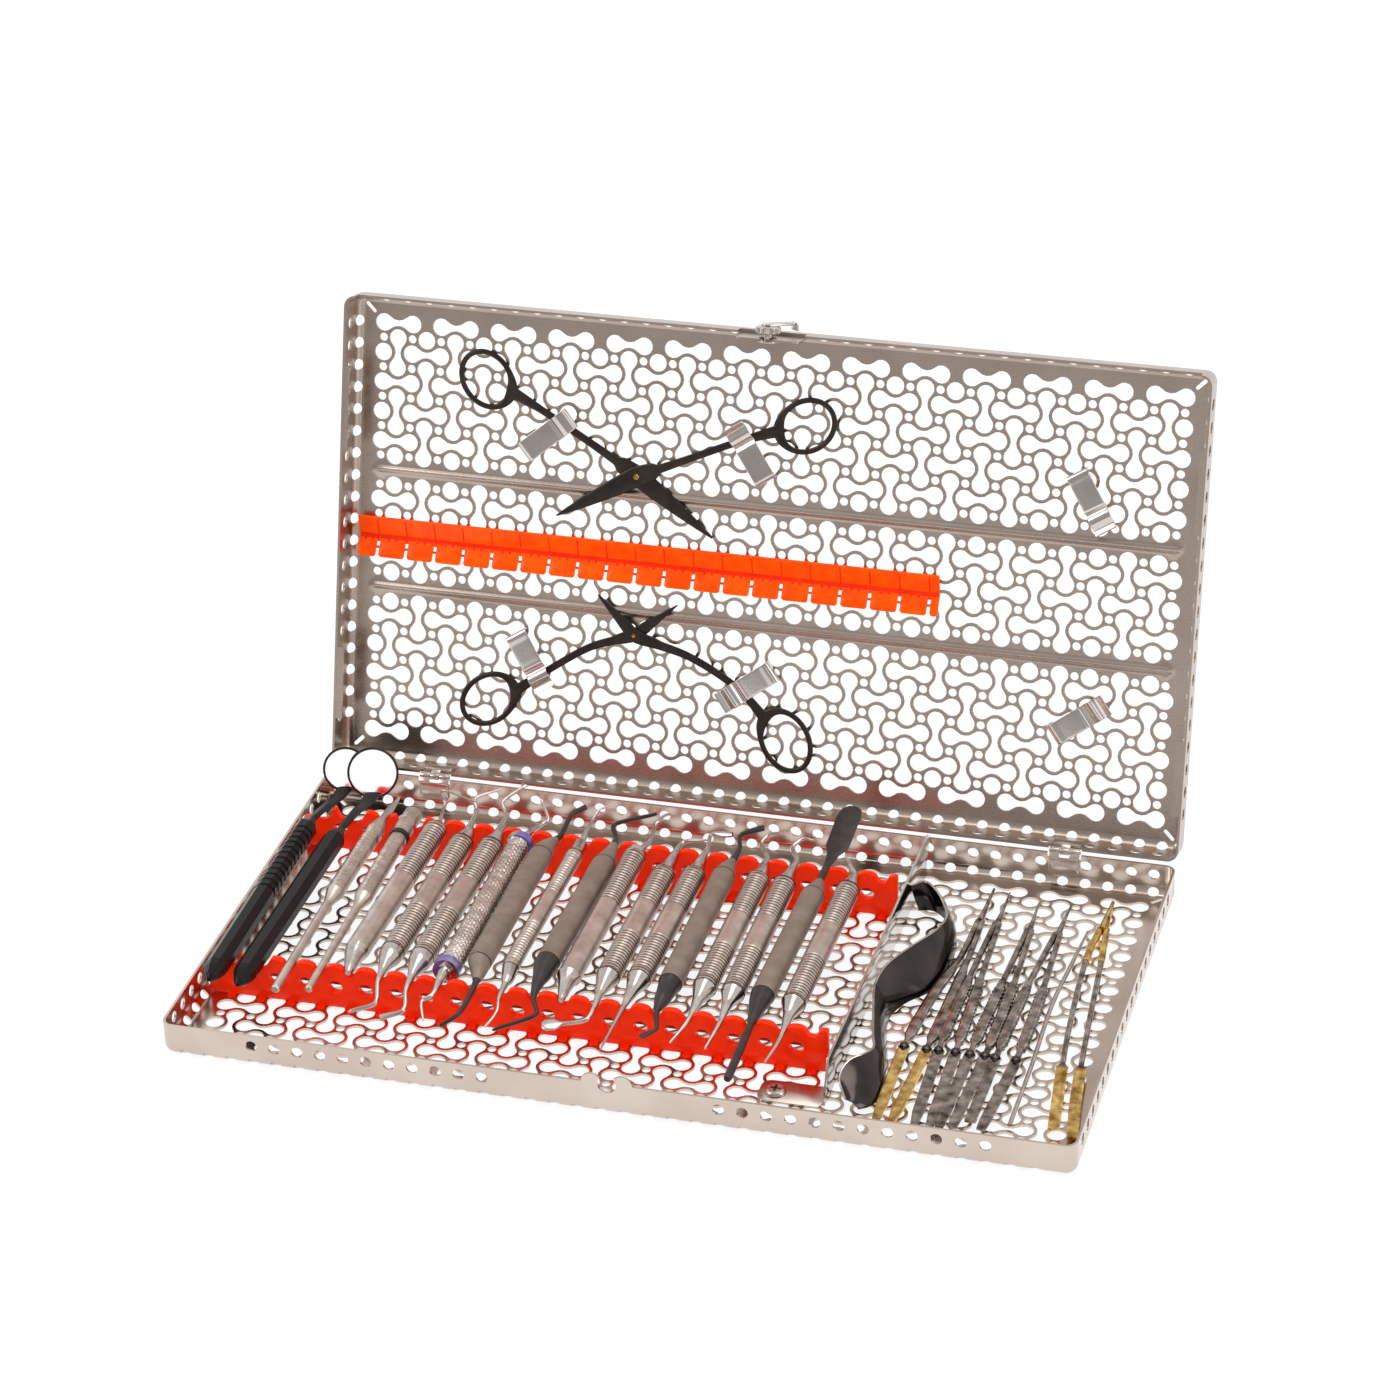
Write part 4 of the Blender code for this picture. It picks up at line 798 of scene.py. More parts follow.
# each point: x from its place's axis, y, z, half width[, half height]
instruments = {
    "mirror_handle_1": ("darkRinged", [(-2.1, -73.5, h, 0.9), (-2.1, -71.5, h, 2.4), (-2.1, -67, h, 4.2),
    (-2.2, -64, h, 4.7),
                        (-3.0, 44, h, 4.7), (-3.1, 48.5, h, 2.9), (-3.1, 51, h, 1.7, 1.2),
                        (-2.5, 66, 16.2, 2.3, 0.8),
                        (-1.6, 79, 13.6, 3.2, 0.7), (-1.2, 87.0, 13.2, 3.6, 0.6)]),
    "mirror_handle_2": ("dark", [(-2.3, -74.5, h, 0.9), (-2.3, -72.5, h, 2.4), (-2.3, -68, h, 4.2),
    (-2.3, -65, h, 4.7),
                        (-1.2, 38, h, 4.7), (-1.1, 42.5, h, 2.9), (-1.1, 46, h, 1.7, 1.2),
                        (-1.3, 64, 16.4, 2.3, 0.8),
                        (-1.4, 78, 13.0, 3.2, 0.7), (-1.5, 87, 12.0, 3.7, 0.6)]),
    "carver_3": ("grooved", [(0.5, -74, 18.6, 1.3), (0.5, -73, 18.6, 1.9), (0.2, -10, h, 1.9), (0.2, -1, h, 3.8),
                 (0.3, 22, h, 3.7), (0.9, 48, h, 3.9), (0.9, 53.5, h, 2.8), (0.8, 58, h, 1.6),
                 (1.3, 66, h, 1.9, 0.5),
                 (1.9, 76, h, 0.6, 0.3)]),
    "carver_4": ("grooved", [(0.8, -71, 18.6, 1.0), (0.8, -70.3, 18.6, 1.6), (0.2, -10, h, 1.8),
    (0.2, -2, h, 3.8),
                 (-0.5, 44, h, 3.8), (-0.6, 56, h, 4.1), (-0.5, 64, h, 4.0), (-0.5, 66.2, h, 2.6)]),
    "explorer_5": ("halfRinged", [(-0.2, -56.5, h, 1.2), (-0.3, -55.5, h, 1.5), (-1.9, -43, h, 4.4),
    (-2.0, -40, h, 5.0),
                   (0, 54, h, 5.0), (0, 57.5, h, 3.4), (0, 58.6, h, 1.1), (-1.2, 66, 19.6, 0.8),
                   (-2.0, 73, 21.5, 0.7),
                   (-4.0, 74.6, 25.4, 0.6), (-3.2, 74.4, 26.2, 0.5), (12.3, 71.4, 24.4, 0.3)]),
    "curette_6": ("ringed", [(-7.3, -73.2, 12, 0.5), (-5.5, -72.2, 12.6, 0.8), (2.2, -69, 14.6, 0.9),
                  (2.6, -66.8, 15.6, 0.9), (0.6, -59, 18.3, 1.1), (0.1, -52, 18.9, 1.7), (-0.3, -46, h, 3.2),
                  (-0.3, -42, h, 4.6), (-0.3, -38, h, 5.0), (1.2, 47, h, 5.0), (1.3, 54.3, h, 3.0),
                  (0.4, 61, h, 1.4),
                  (-0.6, 72, 19.8, 1.0), (-2.4, 76.4, 22.4, 0.8), (-1.8, 77.5, 22.9, 0.8),
                  (6.3, 85.5, 23.2, 0.5)]),
    "chisel_7": ("ringed", [(-5.8, -75.6, 13, 1.6, 0.6), (-3.6, -74.6, 13.6, 1.4, 0.7), (2.0, -71.6, 14.7, 0.9),
                 (2.5, -69, 15.6, 0.9), (0.6, -62, 17.8, 1.0), (0.0, -53, 18.8, 1.7), (-0.2, -47, h, 3.2),
                 (-0.2, -43, h, 4.6), (-0.2, -39, h, 5.0), (1.2, 47, h, 5.0), (1.3, 54.7, h, 3.0),
                 (0.4, 61, h, 1.4),
                 (-0.2, 72, 19.2, 1.0), (-3.4, 77.6, 21.6, 0.8), (-2.8, 79.3, 22.3, 0.8), (2.2, 88, 23.8, 0.7),
                 (3.0, 89.6, 24.2, 1.5, 0.5)]),
    "scaler_8": ("violet", [(-1.0, -74.0, 13.4, 0.4), (-3.8, -67.6, 16.6, 0.7), (-3.9, -66.2, 17.1, 0.8),
                 (-0.8, -62.5, 18.2, 0.9), (-0.7, -54, h, 1.6), (-0.7, -47.5, h, 3.0), (-0.5, -46.8, h, 5.3),
                 (-0.2, -42.8, h, 5.3), (-0.1, -42, h, 4.9), (-0.7, 49.5, h, 4.9), (-0.8, 50, h, 5.3),
                 (-0.8, 53.5, h, 5.3), (-0.5, 54.4, h, 2.6), (0.6, 60.5, h, 1.4), (4.4, 68.4, 19.5, 0.9),
                 (6.2, 70.3, 20.2, 0.8), (1.3, 78.4, 23.7, 0.6), (1.0, 79.3, 24.1, 0.8)]),
    "plugger_9": ("matte", [(-6.1, -77, 14, 0.8), (-1.4, -72.4, 15.6, 0.9), (0.2, -69, 16.5, 1.0),
    (0.8, -51, 18.5, 1.3),
                  (0.5, -47.5, h, 2.4), (-1.9, -37, h, 4.8), (-2.0, -33, h, 5.0), (-2.0, 45, h, 5.0),
                  (-1.2, 52.5, h, 3.4),
                  (0.6, 58.5, h, 1.5), (1.5, 62, 18.9, 1.1), (2.5, 74, 21.8, 1.0), (3.4, 75.4, 22.3, 1.2, 0.7),
                  (7.9, 78.5, 24, 1.5, 0.5)]),
    "explorer_10": ("slender", [(-1.0, -73.6, 14, 0.4), (1.6, -66, 16.7, 0.6), (0.6, -60, 18.4, 0.8),
    (0.1, -50, h, 1.4),
                    (0, -47, h, 2.5), (-1.2, -39, h, 3.4), (-1.5, -36, h, 3.6), (-1.0, 48, h, 3.6),
                    (-1.0, 50, h, 2.9),
                    (-1.0, 57, h, 2.9), (-1.0, 58.4, h, 1.6), (-1.7, 72, 19.2, 0.8), (0.3, 81, 21.8, 0.5),
                    (2.7, 82.9, 22.2, 0.4)]),
    "scaler_11": ("blackEnds", [(-10.6, -73.9, 13, 0.5), (-8.5, -72.6, 13.5, 0.8), (3.8, -64, 15.7, 0.9),
                  (4.2, -62.4, 16.2, 0.9), (1.2, -56.5, 18.3, 1.0), (-0.1, -46, h, 2.6), (-0.3, -40, h, 3.8),
                  (-0.7, -35.5, h, 4.6), (-0.7, -31, h, 5.0), (0.2, 44, h, 5.0), (0.3, 50, h, 3.6),
                  (0, 58.4, h, 1.9),
                  (-0.8, 65, h, 1.1), (-4.0, 72, 19.8, 1.0), (-3.4, 73.6, 20.3, 0.9), (11.5, 79.2, 23.6, 0.8),
                  (12.9, 79.8, 24, 0.7)]),
    "cone_12": ("halfRinged", [(-0.2, -56.3, h, 1.1), (-0.3, -55.3, h, 1.3), (-1.9, -43, h, 3.6),
    (-2.1, -39.5, h, 4.9),
                (-1.7, 52, h, 4.9), (-1.7, 56.5, h, 4.0), (-1.0, 58.6, h, 1.6), (1.0, 66.5, h, 0.9),
                (0.7, 77.2, 20.9, 0.8),
                (4.2, 80.4, 23.6, 0.6), (8.9, 79.9, 24, 0.4)]),
    "curette_13": ("ringed", [(-16.6, -70.2, 15.8, 1.6, 0.6), (-15.4, -69.8, 15.9, 3.0, 0.6),
    (-12.2, -68.6, 16, 3.1, 0.6),
                   (-9.6, -67.7, 16, 1.2, 0.6), (-7.9, -67.1, 16, 0.8), (-0.6, -64.4, 16.9, 0.9),
                   (0.5, -62.6, 17.4, 0.9),
                   (0.9, -57, 18.3, 1.0), (0.6, -48, 18.9, 1.8), (0.4, -41, h, 3.6), (0.4, -36, h, 5.0),
                   (1.0, 42, h, 5.0), (1.1, 48, h, 3.2), (1.3, 57, h, 1.8), (1.6, 65.4, 19.2, 1.0),
                   (3.0, 67.4, 19.8, 0.9), (12.6, 66.9, 22.2, 0.4)]),
    "probe_14": ("ringed", [(-1.1, -84.6, 18, 0.3), (-0.9, -74, 18.2, 0.6), (-0.3, -54, 18.8, 1.2),
    (0, -43, h, 2.8),
                 (0.1, -35, h, 5.0), (0.6, 44, h, 5.0), (0.6, 50, h, 3.2), (0.5, 58, h, 1.8),
                 (0.4, 66.5, h, 0.9),
                 (-0.6, 74.2, 19.8, 0.8), (0.2, 75, 20.3, 0.9), (5.2, 74.4, 21.2, 1.6, 0.6),
                 (9, 73.7, 22, 1.2, 0.6)]),
    "carver_15": ("blackEnds", [(-2.1, -69.6, 15.8, 1.2, 0.4), (-0.6, -68, 16.2, 1.3, 0.5),
    (2.8, -64.6, 16.9, 0.8),
                  (2.8, -62.8, 17.3, 0.9), (0.5, -55, 18.5, 1.1), (0.5, -47, h, 3.2), (0.4, -38, h, 4.2),
                  (0.4, -35, h, 4.9), (0, 46, h, 4.9), (0, 52, h, 3.4), (0.4, 58, h, 1.8), (0.7, 68.6, h, 1.0),
                  (-1.2, 76, 19.8, 0.9), (-0.7, 77.3, 20.3, 0.9), (6.6, 79.8, 22.6, 1.5, 0.5),
                  (8.4, 80.3, 23, 1.3, 0.5)]),
    "curette_16": ("ringed", [(-2.3, -70.5, 16, 0.5), (0.9, -60, 17.8, 0.9), (1.6, -54, 18.6, 1.1),
    (1.7, -44, h, 2.4),
                   (1.8, -35, h, 4.9), (1.9, 46, h, 4.9), (1.9, 53, h, 3.0), (1.3, 58.6, h, 1.6),
                   (0.8, 64.8, h, 1.0),
                   (-3.4, 72.2, 19.9, 0.9), (-3.4, 73.8, 20.6, 0.8), (-1.6, 77, 22, 0.7), (2.4, 77.8, 23, 0.5)]),
    "curette_17": ("ringed", [(-0.6, -71.4, 16, 0.5), (0.7, -62, 17.6, 0.9), (1.3, -55, 18.5, 1.1),
    (1.0, -44, h, 2.4),
                   (1.0, -36, h, 4.9), (0.6, 45, h, 4.9), (0.6, 52, h, 3.0), (0.8, 58.6, h, 1.6),
                   (0.8, 65.2, h, 1.0),
                   (-2.8, 72, 19.8, 0.9), (-2.8, 73.4, 20.3, 0.8), (0.4, 77.6, 21.7, 0.7),
                   (5.8, 76.7, 22, 0.5)]),
    "spatula_18": ("blackEnds", [(1.4, -92.4, 18, 1.4), (1.4, -91, 18, 1.7), (1.0, -66, 18.4, 1.7),
    (0.8, -56, 18.7, 1.3),
                   (0.2, -40, h, 4.2), (0.2, -35, h, 4.9), (1.2, 40, h, 4.9), (1.4, 47, h, 2.9),
                   (1.2, 52, h, 1.7, 1.5),
                   (1.2, 62, h, 1.5, 1.0), (1.6, 66, 19.6, 2.0, 0.8), (2.1, 70, 20.4, 2.6, 0.6),
                   (2.7, 75, 21.5, 5.0, 0.5),
                   (3.6, 91, 25.9, 5.2, 0.5), (4.1, 95.8, 27.2, 4.2, 0.5), (4.2, 97.3, 27.6, 2.2, 0.5)]),
    "scaler_19": ("ringed", [(-0.6, -76.4, 17, 0.4), (1.2, -66, 18.0, 0.8), (1.6, -57, 18.6, 1.1),
    (1.0, -46, h, 2.4),
                  (0.8, -38, h, 4.9), (1.6, 47, h, 4.9), (1.7, 53.5, h, 2.9), (1.4, 58.6, h, 1.5),
                  (-2.2, 65.8, 19.1, 0.9), (-2.8, 67.2, 19.4, 0.8), (-4.5, 69.2, 20.2, 0.5)]),
}
# style: (handle finish, end finish, slot of the handle)
styles = {"dark": ("blackHandle", "matteCoat", "dark_handle"),
    "darkRinged": ("blackHandle", "matteCoat", "dark_handle"),
          "grooved": ("handleSteel", "handleSteel", "handle_steel"),
          "ringed": ("ringedSteel", "tipSteel", "handle_steel"),
          "violet": ("handleSteel", "tipSteel", "handle_steel"),
          "halfRinged": ("handleSteel", "tipSteel", "handle_steel"),
          "matte": ("matteCoat", "blackTip", "brown_coating"),
          "slender": ("handleSteel", "tipSteel", "handle_steel"),
          "blackEnds": ("matteCoat", "blackTip", "brown_coating")}
knurl = {"ringPitch": 1.9, "ringDepth": 0.3, "plain": (-8.0, 16.0), "diamond": 11, "diamondPitch": 2.4}


def handleRadius(style, y, angle, low, high):
    # how far the grip pattern moves the surface in or out at this place along the handle
    edge = min(y - low, high - y)
    if edge < 3.0:
        return 0.0
    if style == "halfRinged":
        return -knurl["ringDepth"] * (0.5
            - 0.5 * math.cos(2 * math.pi * y / knurl["ringPitch"])) if y > 14 else 0.0
    if style == "ringed" or style == "slender":
        if knurl["plain"][0] < y < knurl["plain"][1]:
            return 0.0
        return -knurl["ringDepth"] * (0.5 - 0.5 * math.cos(2 * math.pi * y / knurl["ringPitch"])) ** 1.5
    if style == "darkRinged":
        return -0.5 if y > -10 and (y % 4.2) < 1.3 else 0.0
    if style == "violet":
        twist = 2 * math.pi * y / (knurl["diamondPitch"] * knurl["diamond"])
        a = abs(math.sin((angle + twist) * knurl["diamond"] / 2))
        b = abs(math.sin((angle - twist) * knurl["diamond"] / 2))
        return -0.6 * (1 - min(a, b)) ** 1.5
    if style == "grooved":
        return -0.55 if (y % 7.0) < 1.3 or 2.4 < (y % 7.0) < 3.5 else 0.0
    return 0.0


for slot, (name, (style, path)) in enumerate(instruments.items()):
    x = column(2 * slot)
    path = [(x + p[0],) + p[1:] for p in doubled(path)]
    widest = max(p[3] for p in path)
    if style == "violet":
        widest = 5.0
    if style == "grooved":
        widest = 3.9
    if name == "spatula_18":         # its blade is broader than its handle
        widest = 4.9
    inside = [i for i, p in enumerate(path) if p[3] >= 0.93 * widest and abs(p[1]) < 66]
    first, last = inside[0], inside[-1]
    low, high = path[first][1], path[last][1]
    front = smoothPath(path[:first + 1], 0.8)
    grip = smoothPath(path[first:last + 1], 0.4 if style != "matte" else 2.0)
    back = smoothPath(path[last:], 0.8)
    sides = 8 if style.startswith("dark") else (44 if style == "violet" else 20)
    handleFinish, endFinish, matSlot = styles[style]
    parts = []
    verts, faces = sweep(grip, sides, 1.0, 0.5, Vector((0, 0, 1)))
    moved = []
    for i, (spot, size) in enumerate(grip):
        for k in range(sides):
            v = verts[i * sides + k]
            radial = v - spot
            d = handleRadius(style, spot.y, 2 * math.pi * (k + 0.5) / sides, low, high)
            moved.append(v + radial.normalized() * d)
    zone = {"halfRinged": lambda y: y > 14,
        "ringed": lambda y: knurl["plain"][0] < y < knurl["plain"][1]}.get(style)
    parts.append((moved, faces, [3 if zone and zone(moved[face[0]].y) else 0 for face in faces]))
    dark = style.startswith("dark")
    for rows, atFront in ((front, True), (back, False)):
        if len(rows) < 3:
            continue
        thin = [i for i, (spot, size) in enumerate(rows) if size[0] < 1.9]
        # only the thin end is black
        if thin and (style == "matte" or (style == "blackEnds" and not atFront)):
            cut = thin[-1] if atFront else thin[0]
            halves = [(rows[:cut + 1], 1), (rows[cut:], 0)] if atFront else [(rows[:cut + 1], 0),
                (rows[cut:], 1)]
        else:
            halves = [(rows, 0 if dark else 1)]
        for half, finish in halves:
            if len(half) > 1:
                parts.append((*sweep(half, 8 if dark else 20, 1.0, 0.5, Vector((0, 0, 1)),
                    len(half) - 1 if atFront else 0),
                              finish))
    materials = [handleFinish, endFinish]
    if style == "violet":
        materials.append("violet")
        for y0, y1 in ((-46.9, -42.6), (49.8, 53.6)):
            ring = []
            for k in range(9):
                y = y0 + (y1 - y0) * k / 8
                ring.append((Vector((x - 0.45, y, h)), [5.45 - 0.22 * (k % 2)] * 2))
            parts.append((*sweep(ring, 32), 2))
    else:
        materials += ["rubber", "ringedSteel" if style == "halfRinged" else "handleSteel"]
        for y, way in ((low, -1), (high, 1)):    # dark seam where the working end is pressed in
            if style in ("ringed", "matte", "blackEnds", "slender"):
                spot = grip[0][0] if way < 0 else grip[-1][0]
                size = (grip[0][1][0] if way < 0 else grip[-1][1][0]) + 0.04
                seamRows = [(spot + Vector((0, way * d, 0)), [size - 0.02 * k] * 2)
                            for k, d in enumerate((-0.15, 0.3))]
                parts.append((*sweep(seamRows, 24), 2))
        if style == "grooved" and name == "carver_4":
            ring = [(Vector((x - 0.5, y, h)), [r, r])
                    for y, r in ((44.0, 3.9), (44.3, 4.35), (46.4, 4.35), (46.7, 3.9))]
            parts.append((*sweep(ring, 24), 2))
    addPiece(name + "_made", "base", matSlot, materials, parts, [name], angle=40)
print("instruments turned")

mirrors = {"facing": (0.25, -0.90, 0.36), "steps": 48,       # heads: place in the rail, centre from it, radius
           "heads": {"mirror_head_1": (0, (-2.0, 91.3, 20.2), 9.7),
           "mirror_head_2": (1, (-2.5, 91.6, 19.9), 11.0)}}
aim = Vector(mirrors["facing"]).normalized().to_track_quat("Z", "Y").to_matrix().to_4x4()
for name, (slot, (dx, y, z), radius) in mirrors["heads"].items():
    seat = Matrix.Translation((column(2 * slot) + dx, y, z)) @ aim
    shell = [(radius - 1.2, -0.6), (radius - 0.2, -0.45), (radius, -0.1), (radius, 0.45), (radius - 0.25, 0.6),
             (radius - 0.75, 0.6), (radius - 0.85, 0.42)]
    # inner rings near the rim keep the glass flat to its edge
    glass = [(radius - 0.9, 0.2), (radius - 0.9, 0.5), (radius - 1.05, 0.56), (radius - 1.15, 0.56),
             (radius - 1.4, 0.56), (0.1, 0.56)]
    parts = [(*turned(profile, (0, 0, 0), "z", mirrors["steps"]), k)
             for k, profile in enumerate((shell, glass))]
    addPiece(name + "_glass", "base", "mirror_glass", ["scissorCoat", "mirrorGlass"], parts, [name], seat)
print("mirrors silvered")

# cheek retractor: a broad S band on edge, leaning outward at the top, with a spoon at each end
retractor = {
    "upper": [(80, 67, 12), (85.5, 69, 13.5), (92, 62, 14.5), (98, 51, 15), (101, 42, 15.5), (99.5, 31, 16),
    (92, 16, 16),
              (85.5, 1, 15.5), (84, -10, 14), (87, -25, 13), (91, -42, 12.5), (93.5, -52, 12.5), (91, -58, 13.5),
              (86.5, -63, 13), (84.5, -70, 10), (88.5, -77, 5)],
    "lower": [(84, 64, 3), (90, 66, 2.2), (97, 60, 2), (102.5, 50, 2), (105, 40, 2), (105, 22, 2), (102, 8, 2),
    (94, -3, 2),
              (90.5, -14, 2), (92.5, -28, 2), (96.5, -43, 2), (98.5, -54, 2), (100, -61, 2), (100, -69, 2),
              (97.5, -75, 2), (94, -78.5, 2.5)],
    "thick": 0.55, "crown": 1.1, "across": 10, "rim": 0.55}
edgeA, edgeB = smoothPath(retractor["upper"], 2.0), smoothPath(retractor["lower"], 2.0)
count = min(len(edgeA), len(edgeB))


def pick(rows, i):
    f = i * (len(rows) - 1) / (count - 1)
    a = min(int(f), len(rows) - 2)
    return rows[a][0].lerp(rows[a + 1][0], f - a)


bandVerts, bandFaces = [], []
paintedHighlightRim, rimB = [], []
for i in range(count):
    a, b = pick(edgeA, i), pick(edgeB, i)
    along = (pick(edgeA, min(i + 1, count - 1)) - pick(edgeA, max(i - 1, 0))
             + pick(edgeB, min(i + 1, count - 1)) - pick(edgeB, max(i - 1, 0))).normalized()
    normal = along.cross(b - a).normalized()
    crown = [a.lerp(b, k / retractor["across"])
        + normal * (retractor["crown"] * math.sin(math.pi * k / retractor["across"]))
             for k in range(retractor["across"] + 1)]
    bandVerts += [p + normal * retractor["thick"] for p in crown] + [p - normal * retractor["thick"]
        for p in crown[::-1]]
    paintedHighlightRim.append((a, [retractor["rim"], retractor["rim"]]))
    rimB.append((b, [retractor["rim"], retractor["rim"]]))
size = 2 * (retractor["across"] + 1)
for i in range(count - 1):
    for k in range(size):
        m = (k + 1) % size
        bandFaces.append((i * size + k, i * size + m, (i + 1) * size + m, (i + 1) * size + k))
bandFaces += [tuple(range(size)), tuple(range((count - 1) * size, count * size))]
# the upper edge's rod takes the lighter tip steel: a painted highlight along that edge
addPiece("retractor_band", "base", "brown_coating", ["gunmetal", "tipSteel"],
         [(bandVerts, bandFaces, 0), (*sweep(paintedHighlightRim, 10), 1), (*sweep(rimB, 10), 0)], ["cheek_retractor"])

springs = {
    "micro_needle_holder_1": {"tip": [(111.4, 84, 4.2, 0.5, 0.6), (111.3, 70, 4.3, 0.9, 1.2),
    (111.2, 58, 4.4, 1.6, 1.8)],
                              "left": [(110.4, 58), (109.2, 29), (105.2, 5), (102.2, -34), (103, -88)],
                              "right": [(112.2, 58), (112.7, 25), (111.3, -32), (109, -88)], "ends": "gold",
                              "grip": (25, -32)},
    "micro_forceps_2": {"tip": [(118.3, 83, 4.0, 0.3, 0.4), (118.4, 68, 4.0, 0.8, 1.0),
    (118.4, 58, 4.1, 1.5, 1.6)],
                        "left": [(117.6, 58), (116.2, 16), (115.6, -20), (116, -40), (118, -86)],
                        "right": [(119.3, 58), (121, 12), (122.6, -36), (124, -86)], "ends": "darkSpring",
                        "grip": (18, -30)},
    "micro_forceps_3": {"tip": [(131.5, 78, 4.0, 0.3, 0.4), (132.0, 66, 4.0, 0.8, 1.0),
    (132.2, 56, 4.1, 1.5, 1.6)],
                        "left": [(131.4, 56), (130, 20), (128.6, -25), (128.2, -51), (127.6, -86)],
                        "right": [(133.1, 56), (134.4, 17), (134.4, -34), (132.5, -85)], "ends": "darkSpring",
                        "grip": (18, -30)},
    "micro_scissors_4": {"tip": [(144.8, 79, 4.0, 0.3, 0.4), (144.3, 66, 4.0, 0.9, 1.0),
    (144.1, 56, 4.1, 1.5, 1.6)],
                         "left": [(143.2, 56), (140.4, 20), (138.8, -30), (138.4, -80)],
                         "right": [(145.0, 56), (146.6, 16), (147, -30), (143.5, -84)], "ends": "darkSpring",
                         "grip": (18, -30)},
    "gold_needle_holder_5": {"tip": [(161.2, 84, 4.6, 0.7, 0.8), (161.2, 72, 4.6, 1.5, 1.6),
    (161.4, 62, 4.6, 2.3, 2.2)],
                             "left": [(160.2, 63), (159.1, 41), (163, -16), (170.5, -78)],
                             "right": [(162.8, 63), (165.2, 40), (169.6, -8), (174.5, -54), (178.6, -82)],
                             "ends": "gold", "grip": None},
}
# half widths and heights of an arm, gold and steel; where the flat end starts; the dark ball between arm and end
armDims = {"gold": (1.15, 1.5), "steel": (1.2, 1.6), "swell": 1.1, "ripple": 0.28, "flatFrom": -36.5,
    "flat": (2.35, 0.5),
           "ball": [(0.1, -2.3), (1.6, -1.6), (2.3, 0), (1.6, 1.6), (0.1, 2.3)]}
for name, spec in springs.items():
    parts = []
    gold = name.startswith("gold")
    parts.append((*sweep(smoothPath(spec["tip"], 1.5), 16), 1 if gold else 0))
    for arm in (spec["left"], spec["right"]):
        z = 4.4 if gold else 4.2
        upperRows, endRows = [], []
        for spot, _ in smoothPath([(x, y, z) for x, y in arm], 0.9):
            wide, tall = armDims["gold" if gold else "steel"]
            if spec["grip"] and spec["grip"][1] < spot.y < spec["grip"][0]:
                edge = min(1.0, (spec["grip"][0] - spot.y) / 8, (spot.y - spec["grip"][1]) / 4)
                ripple = armDims["ripple"] * math.sin(spot.y * 2.4) if spec["ends"] != "gold" else 0
                wide += armDims["swell"] * edge + ripple
            if spot.y < armDims["flatFrom"] + 0.5:
                wide, tall = armDims["flat"][0] - 0.9 * max(0.0, (-78 - spot.y) / 10), armDims["flat"][1]
            (endRows if spot.y < armDims["flatFrom"] else upperRows).append((spot, [wide, tall]))
        parts.append((*sweep(upperRows, 16, 0.7), 0))
        if len(endRows) > 2:
            lead = (upperRows[-1][0], [upperRows[-1][1][0] + 0.1, upperRows[-1][1][1] + 0.1])
            parts.append((*sweep([lead] + endRows, 16, 0.4), 1))
            if not gold:
                parts.append((*turned(armDims["ball"], upperRows[-1][0], "z", 20), 2))
        if gold:
            jaw = [(spot, [size[0] + 0.25, size[1] + 0.2]) for spot, size in upperRows if spot.y > 38]
            parts.append((*sweep(jaw, 16, 0.7), 1))
    addPiece(name + "_sprung", "base", "gold_coating" if gold else "spring_steel",
        ["darkSpring", spec["ends"], "gunmetal"],
             parts, [name])
rod = [(155, 63, 3, 0.4), (153.6, 40, 2.8, 0.9), (151.8, 9, 2.4, 0.9), (152.8, -34, 2.4, 0.9),
    (153, -76, 2.4, 0.9)]
addPiece("thin_probe_rod", "base", "handle_steel", ["tipSteel"], [sweep(smoothPath(doubled(rod), 2.0), 16)],
    ["thin_probe_6"])
print("loose instruments laid")

def simpleLight(name, place, target, size, power, color):
    data = bpy.data.lights.new(name, "AREA")
    data.shape = "RECTANGLE"
    data.size, data.size_y = size
    data.energy = power
    data.color = linear(color)[:3]
    lamp = bpy.data.objects.new(name, data)
    bpy.context.scene.collection.objects.link(lamp)
    lamp.location = place
    lamp.rotation_euler = (Vector(target) - Vector(place)).to_track_quat("-Z", "Y").to_euler()
    return lamp


simpleLight("softboxLeft", (-1.3, -0.6, 1.2), (0, 0, 0.05), (0.9, 0.9), 8, "#FFFFFF")
simpleLight("softboxTop", (0.2, 0.3, 1.7), (0, 0, 0), (1.2, 0.8), 7, "#FFFDFA")
simpleLight("softboxRight", (1.5, -0.3, 0.8), (0, 0, 0.1), (0.5, 0.9), 4, "#FFFFFF")
simpleLight("cardForMirrors", (0.52, -2.5, 0.62), (-0.17, 0.09, 0.02), (0.9, 0.6), 1.5, "#FFFFFF")

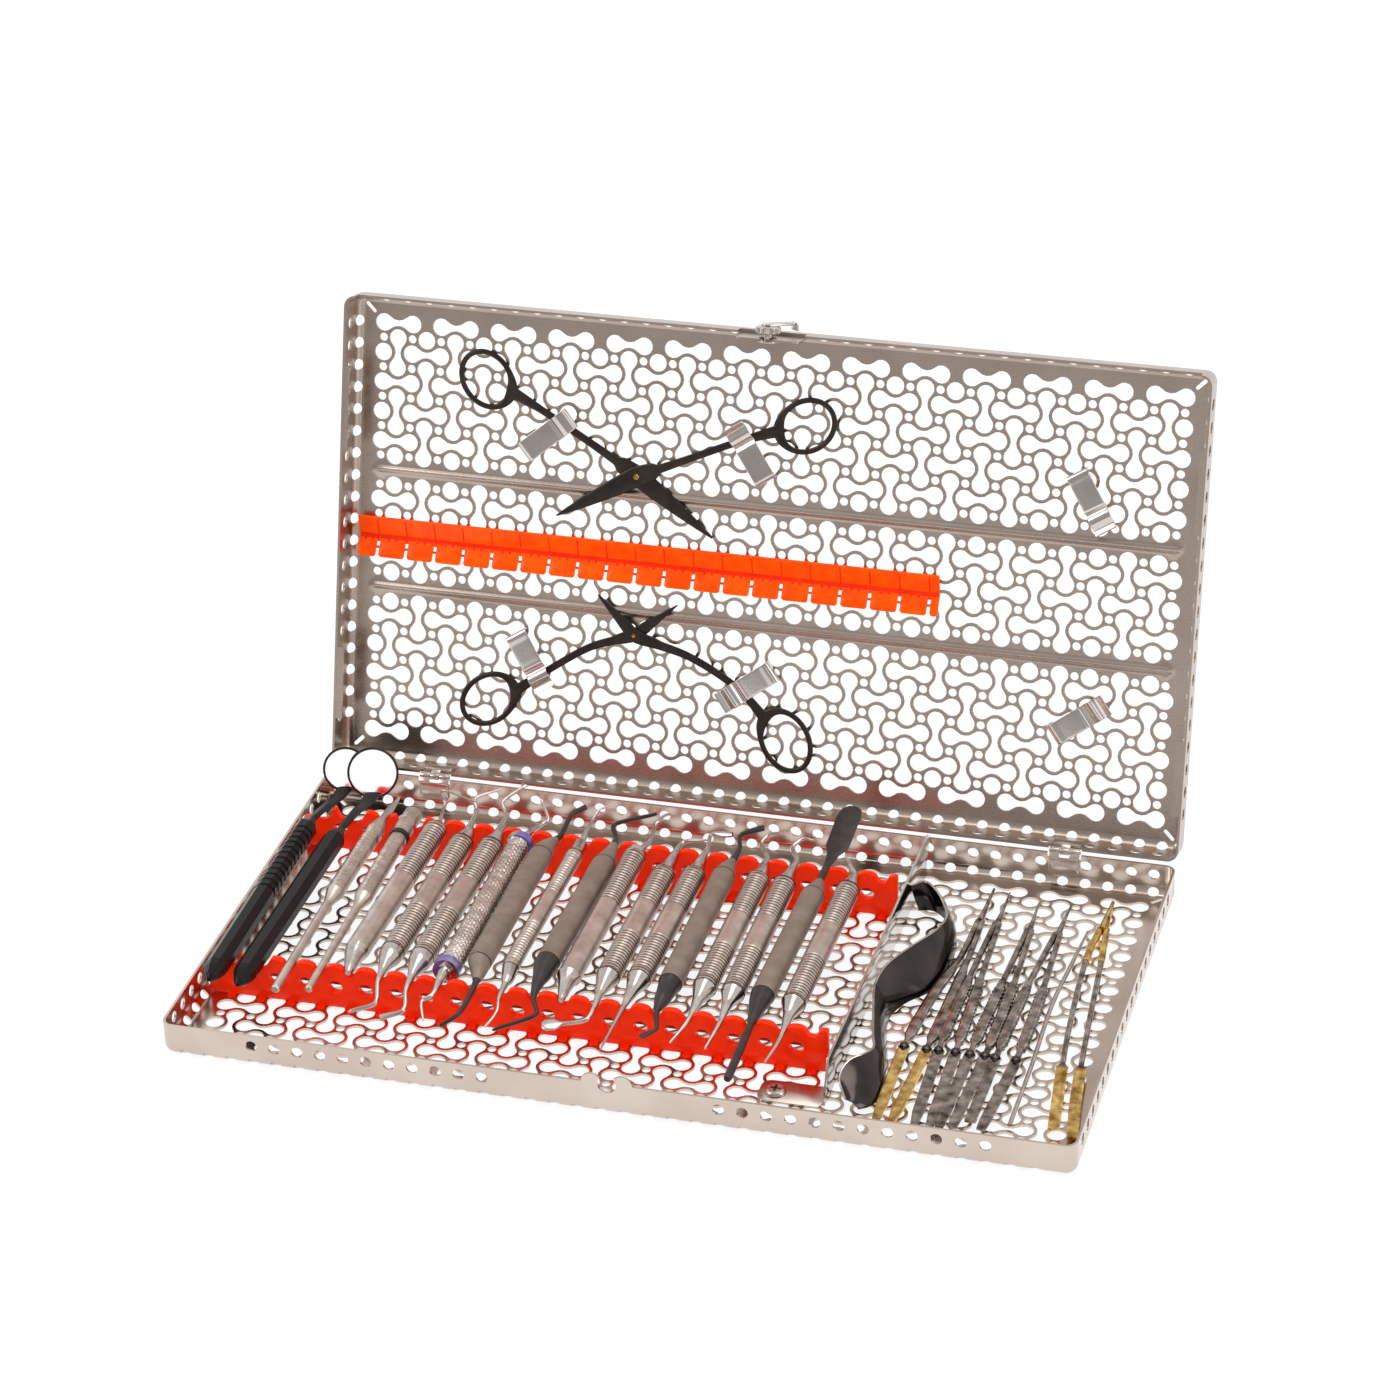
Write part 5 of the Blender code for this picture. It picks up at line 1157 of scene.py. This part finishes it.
floorMesh = bpy.data.meshes.new("studioFloor")
reach = 6.0
floorMesh.from_pydata([(-reach, -reach, -0.0004), (reach, -reach, -0.0004), (reach, reach, -0.0004),
    (-reach, reach, -0.0004)],
                      [], [(0, 1, 2, 3)])
floor = bpy.data.objects.new("studioFloor", floorMesh)
bpy.context.scene.collection.objects.link(floor)
paper = bpy.data.materials.new("litWhiteTable")
paper.use_nodes = True
tree = paper.node_tree
tree.nodes.clear()
paperBody = addNode(tree, "ShaderNodeBsdfPrincipled", inputs={
    "Base Color": linear("#7C7C7C"), "Roughness": 0.9, "Emission Color": linear("#FFFFFF"),
    "Emission Strength": 0.85})
addNode(tree, "ShaderNodeOutputMaterial", inputs={"Surface": paperBody.outputs[0]})
floorMesh.materials.append(paper)

world = bpy.data.worlds.new("softStudio")
bpy.context.scene.world = world
world.use_nodes = True
tree = world.node_tree
tree.nodes.clear()
way = addNode(tree, "ShaderNodeTexCoord")
split = addNode(tree, "ShaderNodeSeparateXYZ", inputs={0: way.outputs["Generated"]})
lift = addNode(tree, "ShaderNodeMapRange", inputs={"Value": split.outputs["Y"], "From Min": -0.9,
    "From Max": 0.4,
                                                   "To Min": 0.42, "To Max": 0.95})
tone = addNode(tree, "ShaderNodeMixRGB", inputs={"Fac": lift.outputs[0], "Color1": (0, 0, 0, 1),
                                                 "Color2": linear("#FFFFFF")})
sky = addNode(tree, "ShaderNodeBackground", inputs={"Color": tone.outputs[0], "Strength": 1.0})
addNode(tree, "ShaderNodeOutputWorld", inputs={"Surface": sky.outputs[0]})

cameraData = bpy.data.cameras.new("camera")
camera = bpy.data.objects.new("camera", cameraData)
bpy.context.scene.collection.objects.link(camera)
cameraData.lens = 122.04
cameraData.sensor_width = 36.0
cameraData.clip_start = 0.05
right = Vector((0.9626151, 0.26907146, -0.03118855))
up = Vector((-0.10916789, 0.49075103, 0.8644338))
back = right.cross(up)
camera.matrix_world = Matrix.Translation((0.47147, -1.53321, 1.05803)) @ Matrix(
    (right, up, back)).transposed().to_4x4()
bpy.context.scene.camera = camera
print("studio lit")
